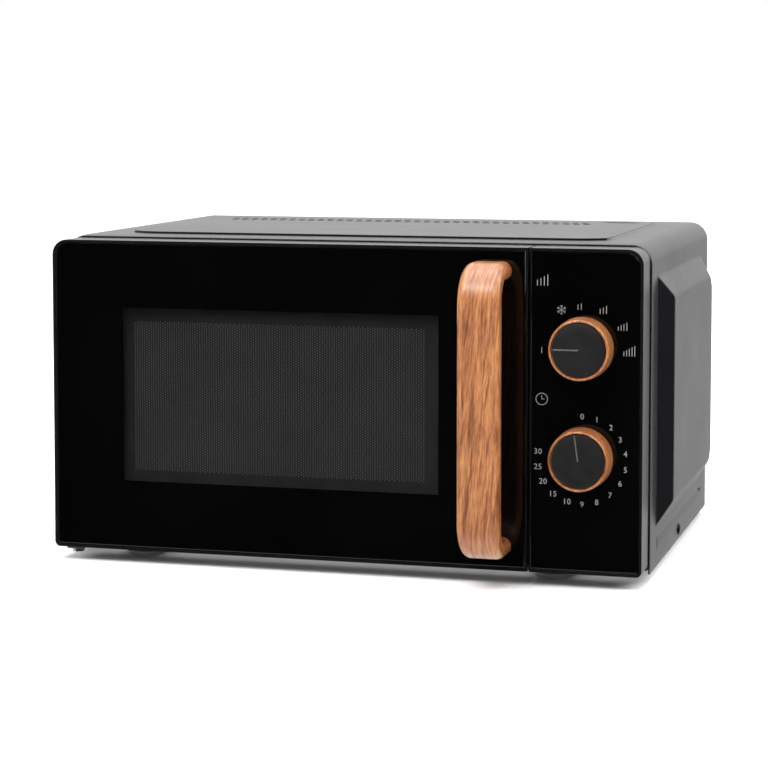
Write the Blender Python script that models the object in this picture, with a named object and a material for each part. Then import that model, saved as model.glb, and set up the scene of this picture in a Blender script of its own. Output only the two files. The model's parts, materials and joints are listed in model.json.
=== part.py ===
"""Countertop microwave oven with two dials, a hinged glass door and a wood-look handle.

Frame: +X to the right as seen from the front, +Y to the back, +Z up, origin on the ground
at the centre of the overall box. Sizes below are in millimetres; the meshes are in metres.
The layout puts the glass at FACE_Y, and the last step centres the whole oven on the origin.
"""

import math

import bmesh
import bpy
from mathutils import Matrix, Vector

MM = 0.001

# ---- driving dimensions ----
FACE_W = 440.0          # width of the door and the control panel together
FACE_Y = -144.0         # front of the glass
HANDLE_REACH = 42.0     # front of the handle to the glass
FACE_BOTTOM = 10.0
FACE_TOP = 239.0
CABINET_FOOT = 6.5      # lower edge of the cabinet's sides
CABINET_TOP = 240.0
SHEET = 1.0             # thickness of the cabinet's sheet steel
GAP = 0.3               # clearance between pieces that touch on the real oven

HALF_W = FACE_W / 2
FACE_BACK = FACE_Y + 30.0
RIM_Y = FACE_Y + 0.6    # front of the rim round the glass
CABINET_FRONT = FACE_Y + 31.0
CABINET_BACK = FACE_Y + 324.0
PLATE_Y = (FACE_Y + 31.4, FACE_Y + 32.4)
BASE_Z = (8.0, 9.0)

# oven cavity, inner faces
CAVITY_X = (-198.0, 113.0)
CAVITY_Y = (FACE_Y + 33.9, FACE_Y + 317.0)
CAVITY_Z = (28.0, 225.0)
WALL = 1.2

# door and control panel
DOOR_X = (-HALF_W, 138.5)
PANEL_X = (140.0, HALF_W)
RIM = 2.5               # width of the rim round the glass
GLASS_T = 3.0
WINDOW_X = (-165.3, 74.3)
WINDOW_Z = (61.5, 189.8)
SCREEN_X = (-200.0, 119.0)
SCREEN_Z = (21.0, 232.0)
HINGE_X = -HALF_W + 12.0
HINGE_Y = FACE_Y + 17.0

# handle
HANDLE_X = (97.0, 127.3)
HANDLE_Z = (21.2, 229.2)
HANDLE_T = 13.2
HANDLE_BEND = 28.0

# dials
DIAL_X = 178.0
TIMER_Z = 92.7
POWER_Z = 169.9
KNOB_R = 22.0           # at the panel
KNOB_FRONT_R = 21.3
KNOB_H = 17.5
CAP_R = 19.3

# turntable
TURN_X = (CAVITY_X[0] + CAVITY_X[1]) / 2
TURN_Y = (CAVITY_Y[0] + CAVITY_Y[1]) / 2
TRAY_R = 127.5
ROLLER_R = 8.0
ROLLER_PITCH_R = 94.0
FLOOR_Z = CAVITY_Z[0]
AXLE_Z = FLOOR_Z + GAP + ROLLER_R
TRAY_Z = AXLE_Z + ROLLER_R + GAP

# latch
LATCH_X = (125.5, 130.5)
HOOK_Z = (66.0, 196.0)

# cabinet pressings
SIDE_RAISE = 9.5
TOP_RAISE = 2.5


# ---- materials ----
def material(name, colour, roughness, metallic=0.0, alpha=1.0):
    made = bpy.data.materials.new(name)
    made.use_nodes = True
    shader = made.node_tree.nodes["Principled BSDF"]
    shader.inputs["Base Color"].default_value = (*colour, 1.0)
    shader.inputs["Roughness"].default_value = roughness
    shader.inputs["Metallic"].default_value = metallic
    shader.inputs["Alpha"].default_value = alpha
    return made


def make_materials():
    return {
        "cabinet_paint": material("cabinet_paint", (0.018, 0.018, 0.019), 0.30),
        "black_plastic": material("black_plastic", (0.010, 0.010, 0.011), 0.32),
        "black_glass": material("black_glass", (0.004, 0.004, 0.005), 0.05),
        "wood_effect": material("wood_effect", (0.52, 0.24, 0.10), 0.38),
        "knob_face": material("knob_face", (0.022, 0.024, 0.026), 0.45),
        "enamel": material("enamel", (0.55, 0.55, 0.54), 0.35),
        "zinc_steel": material("zinc_steel", (0.55, 0.56, 0.57), 0.38, 1.0),
        "clear_glass": material("clear_glass", (0.80, 0.86, 0.84), 0.05, 0.0, 0.35),
        "door_film": material("door_film", (0.60, 0.62, 0.62), 0.10, 0.0, 0.35),
        "mica": material("mica", (0.46, 0.40, 0.30), 0.60),
        "copper_wire": material("copper_wire", (0.55, 0.22, 0.09), 0.35, 1.0),
        "core_steel": material("core_steel", (0.16, 0.16, 0.17), 0.55, 1.0),
        "white_plastic": material("white_plastic", (0.72, 0.71, 0.68), 0.45),
        "circuit_board": material("circuit_board", (0.10, 0.16, 0.06), 0.50),
        "rubber": material("rubber", (0.020, 0.020, 0.021), 0.75),
        "screw_steel": material("screw_steel", (0.03, 0.03, 0.03), 0.35, 1.0),
    }


# ---- modelling tools ----
def link(name, mesh, slot, smooth=True):
    obj = bpy.data.objects.new(name, mesh)
    bpy.context.scene.collection.objects.link(obj)
    if slot is None:
        obj.hide_render = True
        obj.display_type = "WIRE"
    else:
        mesh.materials.append(MATERIALS[slot])
    if smooth:
        mesh.shade_smooth()
        mesh.set_sharp_from_angle(angle=math.radians(30))
    return obj


def mesh_of(name, points, faces):
    """Mesh from points in millimetres, its faces turned outwards."""
    mesh = bpy.data.meshes.new(name)
    mesh.from_pydata([Vector(p) * MM for p in points], [], faces)
    bm = bmesh.new()
    bm.from_mesh(mesh)
    bmesh.ops.recalc_face_normals(bm, faces=bm.faces)
    bm.to_mesh(mesh)
    bm.free()
    return mesh


def rect(u0, u1, v0, v1):
    return [(u0, v0), (u1, v0), (u1, v1), (u0, v1)]


def arc(cu, cv, r, start, end, steps):
    """Points on an arc, both ends included; angles in degrees."""
    turn = [math.radians(start + (end - start) * i / steps) for i in range(steps + 1)]
    return [(cu + r * math.cos(a), cv + r * math.sin(a)) for a in turn]


def ring(cu, cv, r, steps=16):
    return arc(cu, cv, r, 0, 360 - 360 / steps, steps - 1)


def rounded(u0, u1, v0, v1, bottom_left=0, bottom_right=0, top_right=0, top_left=0, steps=6):
    """Rectangle whose corners have these radii."""
    corners = (
        (u0, v0, 1, 1, bottom_left, 180),
        (u1, v0, -1, 1, bottom_right, 270),
        (u1, v1, -1, -1, top_right, 0),
        (u0, v1, 1, -1, top_left, 90),
    )
    outline = []
    for u, v, su, sv, r, start in corners:
        if r:
            outline += arc(u + su * r, v + sv * r, r, start, start + 90, steps)
        else:
            outline.append((u, v))
    return outline


def prism(name, axis, lo, hi, outline, holes=(), slot=None, smooth=True):
    """Flat outline with holes, filled and extruded along an axis from lo to hi.

    The outline's two coordinates are (x, y) for Z, (x, z) for Y and (y, z) for X.
    """
    curve = bpy.data.curves.new(name + "_outline", "CURVE")
    curve.dimensions = "2D"
    curve.fill_mode = "BOTH"
    curve.extrude = (hi - lo) / 2 * MM
    for loop in (outline, *holes):
        spline = curve.splines.new("POLY")
        spline.points.add(len(loop) - 1)
        for point, (u, v) in zip(spline.points, loop):
            point.co = (u * MM, v * MM, 0, 1)
        spline.use_cyclic_u = True
    guide = bpy.data.objects.new(name + "_guide", curve)
    mesh = bpy.data.meshes.new_from_object(guide)
    bpy.data.objects.remove(guide)
    mesh.name = name
    place = {
        "Z": Matrix(((1, 0, 0), (0, 1, 0), (0, 0, 1))),
        "Y": Matrix(((1, 0, 0), (0, 0, 1), (0, 1, 0))),
        "X": Matrix(((0, 0, 1), (1, 0, 0), (0, 1, 0))),
    }[axis].to_4x4()
    middle = Vector([(lo + hi) / 2 * MM if a == axis else 0 for a in "XYZ"])
    mesh.transform(Matrix.Translation(middle) @ place)
    bm = bmesh.new()
    bm.from_mesh(mesh)
    bmesh.ops.remove_doubles(bm, verts=bm.verts, dist=1e-6)
    bmesh.ops.dissolve_limit(bm, angle_limit=0.01, verts=bm.verts, edges=bm.edges)
    bmesh.ops.recalc_face_normals(bm, faces=bm.faces)
    bm.to_mesh(mesh)
    bm.free()
    return link(name, mesh, slot, smooth)


def block(name, x, y, z, slot=None):
    return prism(name, "Z", z[0], z[1], rect(*x, *y), slot=slot, smooth=False)


def turned(name, centre, axis, profile, steps=32, slot=None):
    """Profile of (radius, height) points spun round an axis through centre.

    The profile is a closed loop unless it starts and ends on the axis.
    """
    rows = []
    points = []
    for r, h in profile:
        if r < 1e-9:
            rows.append([len(points)] * steps)
            points.append((0.0, 0.0, h))
        else:
            rows.append(list(range(len(points), len(points) + steps)))
            points += [
                (r * math.cos(2 * math.pi * i / steps), r * math.sin(2 * math.pi * i / steps), h)
                for i in range(steps)
            ]
    on_axis = profile[0][0] < 1e-9 and profile[-1][0] < 1e-9
    pairs = list(zip(rows, rows[1:]))
    if not on_axis:
        pairs.append((rows[-1], rows[0]))
    faces = []
    for a, b in pairs:
        for i in range(steps):
            j = (i + 1) % steps
            face = [a[i], a[j], b[j], b[i]]
            face = [v for k, v in enumerate(face) if v not in face[:k]]
            if len(face) > 2:
                faces.append(face)
    turn = {
        "Z": Matrix.Identity(3),
        "Y": Matrix.Rotation(math.radians(-90), 3, "X"),
        "X": Matrix.Rotation(math.radians(90), 3, "Y"),
    }[axis]
    points = [turn @ Vector(p) + Vector(centre) for p in points]
    return link(name, mesh_of(name, points, faces), slot)


def combine(obj, other, operation):
    modifier = obj.modifiers.new(other.name, "BOOLEAN")
    modifier.operation = operation
    modifier.solver = "EXACT"
    modifier.object = other
    other.hide_render = True
    other.display_type = "WIRE"
    return obj


def cut(obj, *others):
    for other in others:
        combine(obj, other, "DIFFERENCE")
    return obj


def join(obj, *others):
    for other in others:
        combine(obj, other, "UNION")
    return obj


def rows_of(first, pitch, count):
    return [first + pitch * i for i in range(count)]


# ---- cabinet ----
def cabinet_profile():
    """Half section of the wrapper from the foot of the right side to the top pressing.

    Each entry is (x, z, side share, top share): how far the side and top pressings push it out.
    """
    r = 17.0
    side = [
        (HALF_W, CABINET_FOOT, 0, 0),
        (HALF_W, 26.0, 0, 0),
        (HALF_W - 1.2, 29.0, 0, 0),
        (HALF_W, 32.0, 0, 0),
        (HALF_W, 38.0, 0, 0),
        (HALF_W, 51.0, 1, 0),
        (HALF_W, 198.0, 1, 0),
        (HALF_W, 213.0, 0, 0),
    ]
    corner = [
        (x, z, 0, 0) for x, z in arc(HALF_W - r, CABINET_TOP - r, r, 0, 90, 6)
    ]
    top = [(194.0, CABINET_TOP, 0, 0), (189.0, CABINET_TOP, 0, 1)]
    return side + corner + top


def cabinet_vents():
    """Two rows of slots across the rear of the top pressing."""
    slots = []
    for row, y in enumerate((FACE_Y + 254.0, FACE_Y + 276.0)):
        for i, x in enumerate(rows_of(-183.0, 17.2, 20)):
            slots.append(block(f"top_vent_{row}_{i}", (x, x + 8.0), (y, y + 12.0), (230, 250)))
    return slots


def make_outer_cabinet():
    half = cabinet_profile()
    section = half + [(-x, z, s, t) for x, z, s, t in reversed(half)]
    side_rows = (CABINET_FRONT, FACE_Y + 65, FACE_Y + 86, FACE_Y + 289, FACE_Y + 310, CABINET_BACK)
    top_rows = (CABINET_FRONT, FACE_Y + 44, FACE_Y + 49, FACE_Y + 300, FACE_Y + 306, CABINET_BACK)
    raised = (0, 0, 1, 1, 0, 0)
    points = []
    for side_y, top_y, share in zip(side_rows, top_rows, raised):
        for x, z, side, top in section:
            on_top = z > CABINET_TOP - 0.01
            points.append((
                x + math.copysign(SIDE_RAISE * side * share, x),
                top_y if on_top else side_y,
                z + TOP_RAISE * top * share,
            ))
    lip = 8.0
    for x, z, _, _ in section:
        inward = (z - CABINET_FOOT) / (CABINET_TOP - CABINET_FOOT)
        points.append((x - math.copysign(lip, x), CABINET_BACK, z - lip * inward))
    width = len(section)
    faces = [
        (r * width + i, r * width + i + 1, (r + 1) * width + i + 1, (r + 1) * width + i)
        for r in range(len(side_rows))
        for i in range(width - 1)
    ]
    cabinet = link("outer_cabinet", mesh_of("outer_cabinet", points, faces), "cabinet_paint")
    skin = cabinet.modifiers.new("sheet", "SOLIDIFY")
    skin.thickness = SHEET * MM
    skin.offset = -1
    skin.use_even_offset = True
    slots = [
        block(f"side_slot_{i}", x, (FACE_Y + 63.0, FACE_Y + 65.0), (19.0, 26.0))
        for i, x in enumerate(((-225, -215), (215, 225)))
    ]
    return cut(cabinet, *cabinet_vents(), *slots)


# ---- chassis ----
def make_base_plate():
    """Floor of the cabinet, with a vent field under the electrics."""
    slots = [rect(x, x + 3.0, 60.0, 110.0) for x in rows_of(140.0, 8.0, 8)]
    front = FACE_Y + 33.0
    outline = [
        (-218.4, front + 7.0), (-199.6, front + 7.0), (-199.6, front), (218.4, front),
        (218.4, 176.6), (-218.4, 176.6),
    ]
    return prism("base_plate", "Z", *BASE_Z, outline, slots, "zinc_steel", smooth=False)


def make_rear_panel():
    """Back of the cabinet, with an air outlet beside the fan and a hole for the cord gland."""
    slots = [
        rect(x, x + 3.0, z, z + 16.0)
        for z in rows_of(110.0, 22.0, 5)
        for x in rows_of(136.0, 8.5, 8)
    ]
    outline = rounded(-217.4, 217.4, 9.6, 238.0, 0, 0, 15, 15)
    holes = [*slots, ring(190.0, 40.0, 7.4, 20)]
    return prism("rear_panel", "Y", 177.2, 178.2, outline, holes, "cabinet_paint", smooth=False)


def make_front_plate():
    """Enamelled front of the chassis, open to the cavity, the hooks and the two shafts."""
    outline = rounded(-217.4, 217.4, 9.6, 238.0, 0, 0, 15, 15)
    holes = [
        rect(*CAVITY_X, *CAVITY_Z),
        ring(DIAL_X, TIMER_Z, 8.0, 16),
        ring(DIAL_X, POWER_Z, 8.0, 16),
        rect(-215.0, -201.0, 225.0, 230.6),
    ]
    for z in HOOK_Z:
        holes.append(rect(LATCH_X[0] - 3.0, LATCH_X[1] + 3.0, z - 11.0, z + 11.0))
    return prism("front_plate", "Y", *PLATE_Y, outline, holes, "enamel", smooth=False)


def make_cavity():
    """Enamelled box, open at the front, with holes for the drive shaft, waveguide and lamp."""
    x, y, z = CAVITY_X, CAVITY_Y, CAVITY_Z
    front = PLATE_Y[1] + GAP
    shell = block(
        "cavity", (x[0] - WALL, x[1] + WALL), (front, y[1] + WALL), (z[0] - WALL, z[1] + WALL), "enamel"
    )
    inside = block("cavity_inside", x, (front - 5, y[1]), z)
    shaft = turned("cavity_shaft_hole", (TURN_X, TURN_Y, 0), "Z", [(0, 20), (4.5, 20), (4.5, 35), (0, 35)])
    feed = block("cavity_feed_hole", (100, 120), (10, 60), (140, 172))
    lamp = [
        turned(f"lamp_hole_{i}_{k}", (0, 89 + 9 * i, 187 + 9 * k), "X",
               [(0, 105), (2.5, 105), (2.5, 120), (0, 120)], 8)
        for i in range(3)
        for k in range(3)
    ]
    return cut(shell, inside, shaft, feed, *lamp)


def make_foot(name, x, y):
    profile = [(0, 0), (13.0, 0), (15.5, 1.5), (16.5, BASE_Z[0] - GAP), (0, BASE_Z[0] - GAP)]
    return turned(name, (x, y, 0), "Z", profile, 24, "rubber")


def make_hinge_brackets():
    """Tabs that carry the door's two pins; the upper one reaches through the front plate."""
    low = block("lower_hinge", (-214, -200), (HINGE_Y - 8, FACE_Y + 39.7), (7.0, 9.0), "zinc_steel")
    cut(low, turned("lower_hinge_hole", (HINGE_X, HINGE_Y, 0), "Z", [(0, 2), (3.2, 2), (3.2, 15), (0, 15)], 16))
    high = block("upper_hinge", (-213.5, -202.5), (HINGE_Y - 5, FACE_Y + 34.5), (226.4, 229.0), "zinc_steel")
    flange = block("upper_hinge_flange", (-213.5, -202.5), (PLATE_Y[1] + GAP, FACE_Y + 34.9), (205, 229.0))
    hole = turned("upper_hinge_hole", (HINGE_X, HINGE_Y, 0), "Z", [(0, 220), (3.2, 220), (3.2, 235), (0, 235)], 16)
    cut(join(high, flange), hole)


def make_hinge_pins():
    low = [(0, 4.0), (4.6, 4.0), (4.6, 6.7), (3.0, 6.7), (3.0, 22.0), (0, 22.0)]
    turned("lower_hinge_pin", (HINGE_X, HINGE_Y, 0), "Z", low, 16, "zinc_steel")
    high = [(0, 212.0), (3.0, 212.0), (3.0, 229.3), (4.6, 229.3), (4.6, 231.0), (0, 231.0)]
    turned("upper_hinge_pin", (HINGE_X, HINGE_Y, 0), "Z", high, 16, "zinc_steel")


def make_interlock():
    """Switch bracket beside the hooks, its two switches and the lever the lower hook presses."""
    outline = [
        (PLATE_Y[1] + GAP, 50), (-70, 50), (-70, 212), (PLATE_Y[1] + GAP, 212),
    ]
    bracket = prism("interlock_bracket", "X", 134.2, 136.4, outline, [rect(-104, -80, 112, 150)],
                    "white_plastic", smooth=False)
    arm = block("bracket_arm", (120.0, 135.0), (-75.0, -72.0), (56, 206))
    join(bracket, arm)
    for name, z in (("lower_switch", 60.0), ("upper_switch", 184.0)):
        block(name, (136.7, 147.0), (-106, -78), (z, z + 16), "black_plastic")
    lever = prism("interlock_lever", "X", 125.4, 130.6,
                  [(-90.5, 58), (-87, 58), (-83, 90), (-79, 100), (-85, 100), (-88, 90)],
                  (), "white_plastic", smooth=False)
    place_origin(lever, (128.0, -82.0, 97.0))


# ---- electrics ----
def make_microwave_source():
    """Magnetron with its fins and antenna, the waveguide it feeds and the cover inside the cavity."""
    source = block("magnetron", (151.0, 205.0), (0.0, 62.0), (128.0, 186.0), "zinc_steel")
    for i, z in enumerate(rows_of(134.0, 8.4, 6)):
        cut(source, block(f"fin_gap_{i}", (156, 200), (-5, 70), (z, z + 5.0)))
    core = turned("magnetron_core", (178, 31, 0), "Z", [(0, 129), (17, 129), (17, 185), (0, 185)], 20)
    antenna = turned("magnetron_antenna", (0, 35, 156), "X", [(0, 128), (7, 128), (7, 153), (0, 153)], 16)
    join(source, core, antenna)
    x0 = CAVITY_X[1] + WALL + GAP
    guide = block("waveguide", (x0, 150.0), (-4.0, 66.0), (134.0, 178.0), "zinc_steel")
    cut(guide, block("waveguide_inside", (x0 - 2, 149.0), (-3.0, 65.0), (135.0, 177.0)))
    cut(guide, turned("antenna_hole", (0, 35, 156), "X", [(0, 140), (8, 140), (8, 160), (0, 160)], 16))
    block("waveguide_cover", (CAVITY_X[1] - 1.0, CAVITY_X[1] - GAP), (4.0, 66.0), (134.0, 178.0), "mica")


def make_power_supply():
    """High-voltage transformer, capacitor, diode and the filter board."""
    outline = rect(-62, 6, 10.0, 76)
    windows = [rect(-50, -36, 22, 64), rect(-20, -6, 22, 64)]
    prism("transformer_core", "X", 140.0, 200.0, outline, windows, "core_steel", smooth=False)
    block_z = (22.3, 63.7)
    winding = block("transformer_winding", (128, 212), (-49.7, -6.3), block_z, "copper_wire")
    cut(winding, block("winding_inside", (139.7, 200.3), (-36.3, -19.7), (10, 80)))
    can = rounded(142, 192, 100, 132, 15, 15, 15, 15, 5)
    prism("capacitor", "Z", 10.0, 82.0, can, (), "zinc_steel")
    diode = [(0, 0), (3.2, 0), (3.2, 16), (0, 16)]
    turned("rectifier_diode", (206, 100, 30), "Z", diode, 12, "black_plastic")
    block("filter_board", (204.0, 205.6), (-60, 20), (96, 122), "circuit_board")


def make_controls():
    """Timer with its bell, and the power selector, both behind the front plate."""
    timer = block("timer_unit", (154, 204), (-108, -76), (68, 116), "white_plastic")
    cut(timer, shaft_hole("timer_shaft_hole", TIMER_Z))
    selector = block("power_selector", (158, 200), (-108, -84), (148, 190), "white_plastic")
    cut(selector, shaft_hole("selector_shaft_hole", POWER_Z))
    bell = [(0, -75.7), (17, -75.7), (17, -74), (9, -66.5), (0, -65)]
    turned("timer_bell", (178, 0, 92), "Y", bell, 24, "zinc_steel")


def shaft_hole(name, z):
    return turned(name, (DIAL_X, 0, z), "Y", [(0, -120), (3.4, -120), (3.4, -95), (0, -95)], 16)


def make_cooling():
    """Fan motor, its shroud, the blade on the motor's shaft, the lamp and the thermal cut-out."""
    x, z = 176.0, 158.0
    hole = ring(x, z, 37.0, 32)
    prism("fan_shroud", "Y", 122.0, 124.0, rect(122, 216, 112, 204), [hole], "zinc_steel", smooth=False)
    motor = block("fan_motor", (x - 22, x + 22), (146, 170), (z - 20, z + 20), "core_steel")
    cut(motor, turned("motor_shaft_hole", (x, 0, z), "Y", [(0, 140), (2.4, 140), (2.4, 160), (0, 160)], 16))
    shaft = [(0, 124.5), (8, 124.5), (8, 141), (2.0, 141), (2.0, 156), (0, 156)]
    blade = turned("fan_blade", (x, 0, z), "Y", shaft, 20, "white_plastic")
    for i in range(5):
        blade_i = blade_vane(f"vane_{i}", x, z, 72 * i)
        join(blade, blade_i)
    place_origin(blade, (x, 135.0, z))
    lamp = [(0, 115.0), (8.0, 115.0), (10.0, 120.0), (10.0, 128.0), (14.0, 130.0), (14.0, 134.0), (0, 134.0)]
    turned("cavity_lamp", (0, 98, 196), "X", lamp, 20, "clear_glass")
    disc = [(0, 114.8), (9, 114.8), (9, 119), (0, 119)]
    turned("thermal_cutout", (0, -40, 200), "X", disc, 16, "black_plastic")


def blade_vane(name, x, z, angle):
    """One twisted vane of the fan, from the hub outwards."""
    turn = Matrix.Rotation(math.radians(angle), 3, "Y")
    corners = []
    for reach, half, twist in ((6.0, 5.0, 45), (33.0, 11.0, 30)):
        for side, thick in ((-1, -0.7), (1, -0.7), (1, 0.7), (-1, 0.7)):
            a = math.radians(twist)
            along = side * half * math.cos(a) - thick * math.sin(a)
            depth = side * half * math.sin(a) + thick * math.cos(a)
            corners.append(turn @ Vector((reach, 0, 0)) + turn @ Vector((0, depth, along)))
    points = [p + Vector((x, 132.5, z)) for p in corners]
    faces = [(0, 1, 2, 3), (4, 5, 6, 7), (0, 1, 5, 4), (1, 2, 6, 5), (2, 3, 7, 6), (3, 0, 4, 7)]
    return link(name, mesh_of(name, points, faces), None)


def make_turntable_motor():
    motor = turned("turntable_motor", (TURN_X, TURN_Y, 0), "Z",
                   [(0, 9.8), (24, 9.8), (25, 10.8), (25, 23.0), (24, 24.0), (0, 24.0)], 28, "zinc_steel")
    cut(motor, turned("motor_socket", (TURN_X, TURN_Y, 0), "Z", [(0, 16), (3.4, 16), (3.4, 30), (0, 30)], 16))


def make_cord_gland():
    """Plain gland where the mains cord would leave the back."""
    profile = [
        (2.8, 172.0), (7.0, 172.0), (7.0, 178.8), (10.5, 178.8), (10.5, 179.9), (2.8, 179.9),
    ]
    turned("cord_gland", (190.0, 0, 40.0), "Y", profile, 20, "black_plastic")


# ---- control panel ----
def make_control_panel():
    outline = rounded(*PANEL_X, FACE_BOTTOM, FACE_TOP, 0, 4, 11, 0)
    housing = prism("control_panel", "Y", RIM_Y, FACE_BACK, outline, (), "black_plastic")
    glass = rounded(PANEL_X[0] + 0.6, PANEL_X[1] - RIM, FACE_BOTTOM + RIM, FACE_TOP - RIM, 0, 2, 9, 0)
    pocket = rounded(PANEL_X[0] + 0.3, PANEL_X[1] - RIM + GAP, FACE_BOTTOM + RIM - GAP,
                     FACE_TOP - RIM + GAP, 0, 2.3, 9.3, 0)
    cut(housing, prism("panel_pocket", "Y", RIM_Y - 1, FACE_Y + GLASS_T + GAP, pocket))
    inside = rounded(PANEL_X[0] + 2.5, PANEL_X[1] - 2.5, FACE_BOTTOM + 2.5, FACE_TOP - 2.5, 0, 2, 9, 0)
    cut(housing, prism("panel_inside", "Y", FACE_Y + 6.0, FACE_BACK + 1, inside))
    for i, z in enumerate((TIMER_Z, POWER_Z)):
        cut(housing, turned(f"panel_shaft_hole_{i}", (DIAL_X, 0, z), "Y",
                            [(0, -150), (5, -150), (5, -130), (0, -130)], 16))
    holes = [ring(DIAL_X, TIMER_Z, 5.0, 16), ring(DIAL_X, POWER_Z, 5.0, 16)]
    prism("panel_glass", "Y", FACE_Y, FACE_Y + GLASS_T, glass, holes, "black_glass")


def make_knob(name, z):
    """Wood-effect knob with its shaft, and the dark cap set into its front."""
    front = FACE_Y - 1.0 - KNOB_H
    grip = [
        (0, front + 3.6), (CAP_R, front + 3.6), (CAP_R, front + 0.8), (CAP_R + 0.7, front),
        (KNOB_FRONT_R - 0.8, front), (KNOB_FRONT_R, front + 0.8), (KNOB_R, FACE_Y - 1.0),
        (3.0, FACE_Y - 1.0), (3.0, -98.0), (0, -98.0),
    ]
    knob = turned(name, (DIAL_X, 0, z), "Y", grip, 48, "wood_effect")
    cap = [
        (0, front + 0.6), (CAP_R - 1.0, front + 0.6), (CAP_R - GAP, front + 1.3),
        (CAP_R - GAP, front + 3.6 - GAP), (0, front + 3.6 - GAP),
    ]
    face = turned(name + "_cap", (DIAL_X, 0, z), "Y", cap, 48, "knob_face")
    place_origin(knob, (DIAL_X, FACE_Y, z))
    place_origin(face, (DIAL_X, FACE_Y, z))


# ---- door ----
def door_outline(inset):
    return rounded(
        DOOR_X[0] + inset, DOOR_X[1] - min(inset, 0.6 + inset * 0.2), FACE_BOTTOM + inset, FACE_TOP - inset,
        4 - inset / 2, 0, 0, 11 - inset / 2,
    )


def make_door_frame():
    """Moulded surround that carries the glass, the screen and the latch."""
    frame = prism("door_frame", "Y", RIM_Y, FACE_BACK, door_outline(0), (), "black_plastic")
    cut(frame, prism("door_glass_pocket", "Y", RIM_Y - 1, FACE_Y + GLASS_T + GAP, door_outline(RIM - GAP)))
    cut(frame, prism("door_window_hole", "Y", RIM_Y - 1, FACE_BACK + 1,
                     rect(WINDOW_X[0] - 3, WINDOW_X[1] + 3, WINDOW_Z[0] - 3, WINDOW_Z[1] + 3)))
    cut(frame, prism("door_back_recess", "Y", FACE_Y + 9.0, FACE_BACK + 1, rect(*SCREEN_X, *SCREEN_Z)))
    cut(frame, block("latch_pocket", (124.0, 132.0), (FACE_Y + 8.0, FACE_BACK + 1), (50, 222)))
    corner = [(-HALF_W - 3, HINGE_Y + 1)]
    corner += arc(HINGE_X, HINGE_Y + 0.8, 12.0, 180, 90, 8)
    corner += [(HINGE_X, FACE_BACK + 3), (-HALF_W - 3, FACE_BACK + 3)]
    cut(frame, prism("door_corner", "Z", 0, 250, corner))
    cut(frame, block("upper_tab_slot", (-222, -200), (HINGE_Y - 8, FACE_BACK + 1), (225.4, 231.6)))
    low = [(0, 5), (3.3, 5), (3.3, 23), (0, 23)]
    high = [(0, 211), (3.3, 211), (3.3, 228), (0, 228)]
    cut(frame, turned("lower_pin_hole", (HINGE_X, HINGE_Y, 0), "Z", low, 16))
    cut(frame, turned("upper_pin_hole", (HINGE_X, HINGE_Y, 0), "Z", high, 16))
    for i, z in enumerate(handle_screw_z()):
        cut(frame, screw_hole(f"frame_screw_hole_{i}", z))
    place_origin(frame, (HINGE_X, HINGE_Y, 0))


def handle_screw_z():
    return (HANDLE_Z[0] + HANDLE_T / 2 + 1, HANDLE_Z[1] - HANDLE_T / 2 - 1)


def screw_hole(name, z):
    x = (HANDLE_X[0] + HANDLE_X[1]) / 2
    return turned(name, (x, 0, z), "Y", [(0, -154), (2.3, -154), (2.3, -134), (0, -134)], 12)


def make_door_glass():
    holes = [ring((HANDLE_X[0] + HANDLE_X[1]) / 2, z, 2.3, 12) for z in handle_screw_z()]
    glass = prism("door_glass", "Y", FACE_Y, FACE_Y + GLASS_T, door_outline(RIM), holes, "black_glass")
    place_origin(glass, (HINGE_X, HINGE_Y, 0))


def make_door_inside():
    """Screen, choke ring, choke cover and the clear inner window, from front to back."""
    x = (SCREEN_X[0] + GAP, SCREEN_X[1] - GAP)
    z = (SCREEN_Z[0] + GAP, SCREEN_Z[1] - GAP)
    screen = prism("door_screen", "Y", FACE_Y + 9.3, FACE_Y + 10.1, rect(*x, *z), (), "core_steel", False)
    inner = rect(x[0] + 24, x[1] - 24, z[0] + 24, z[1] - 24)
    choke = prism("choke_ring", "Y", FACE_Y + 10.4, FACE_Y + 25.0, rect(*x, *z), [inner], "core_steel", False)
    groove = prism("choke_groove", "Y", FACE_Y + 12.0, FACE_Y + 26.0,
                   rect(x[0] + 2, x[1] - 2, z[0] + 2, z[1] - 2),
                   [rect(x[0] + 21, x[1] - 21, z[0] + 21, z[1] - 21)])
    cut(choke, groove)
    lip = rect(x[0] + 26, x[1] - 26, z[0] + 26, z[1] - 26)
    cover = prism("choke_cover", "Y", FACE_Y + 25.3, FACE_Y + 28.6, rect(*x, *z), [lip], "black_plastic", False)
    pane = prism("inner_window", "Y", FACE_Y + 23.5, FACE_Y + 25.0,
                 rect(x[0] + 24.3, x[1] - 24.3, z[0] + 24.3, z[1] - 24.3), (), "door_film", False)
    for obj in (screen, choke, cover, pane):
        place_origin(obj, (HINGE_X, HINGE_Y, 0))


def handle_side():
    """Side view of the bow: two legs that bend into a flat grip, of even thickness."""
    foot = FACE_Y - GAP
    front = FACE_Y - HANDLE_REACH
    low, high = HANDLE_Z
    t = HANDLE_T
    r = HANDLE_BEND
    outside = [(foot, low)]
    outside += arc(front + r, low + r, r, 270, 180, 12)
    outside += arc(front + r, high - r, r, 180, 90, 12)
    outside += [(foot, high), (foot, high - t)]
    inside = arc(front + r, high - r, r - t, 90, 180, 10)
    inside += arc(front + r, low + r, r - t, 180, 270, 10)
    return outside + inside + [(foot, low + t)]


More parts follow.
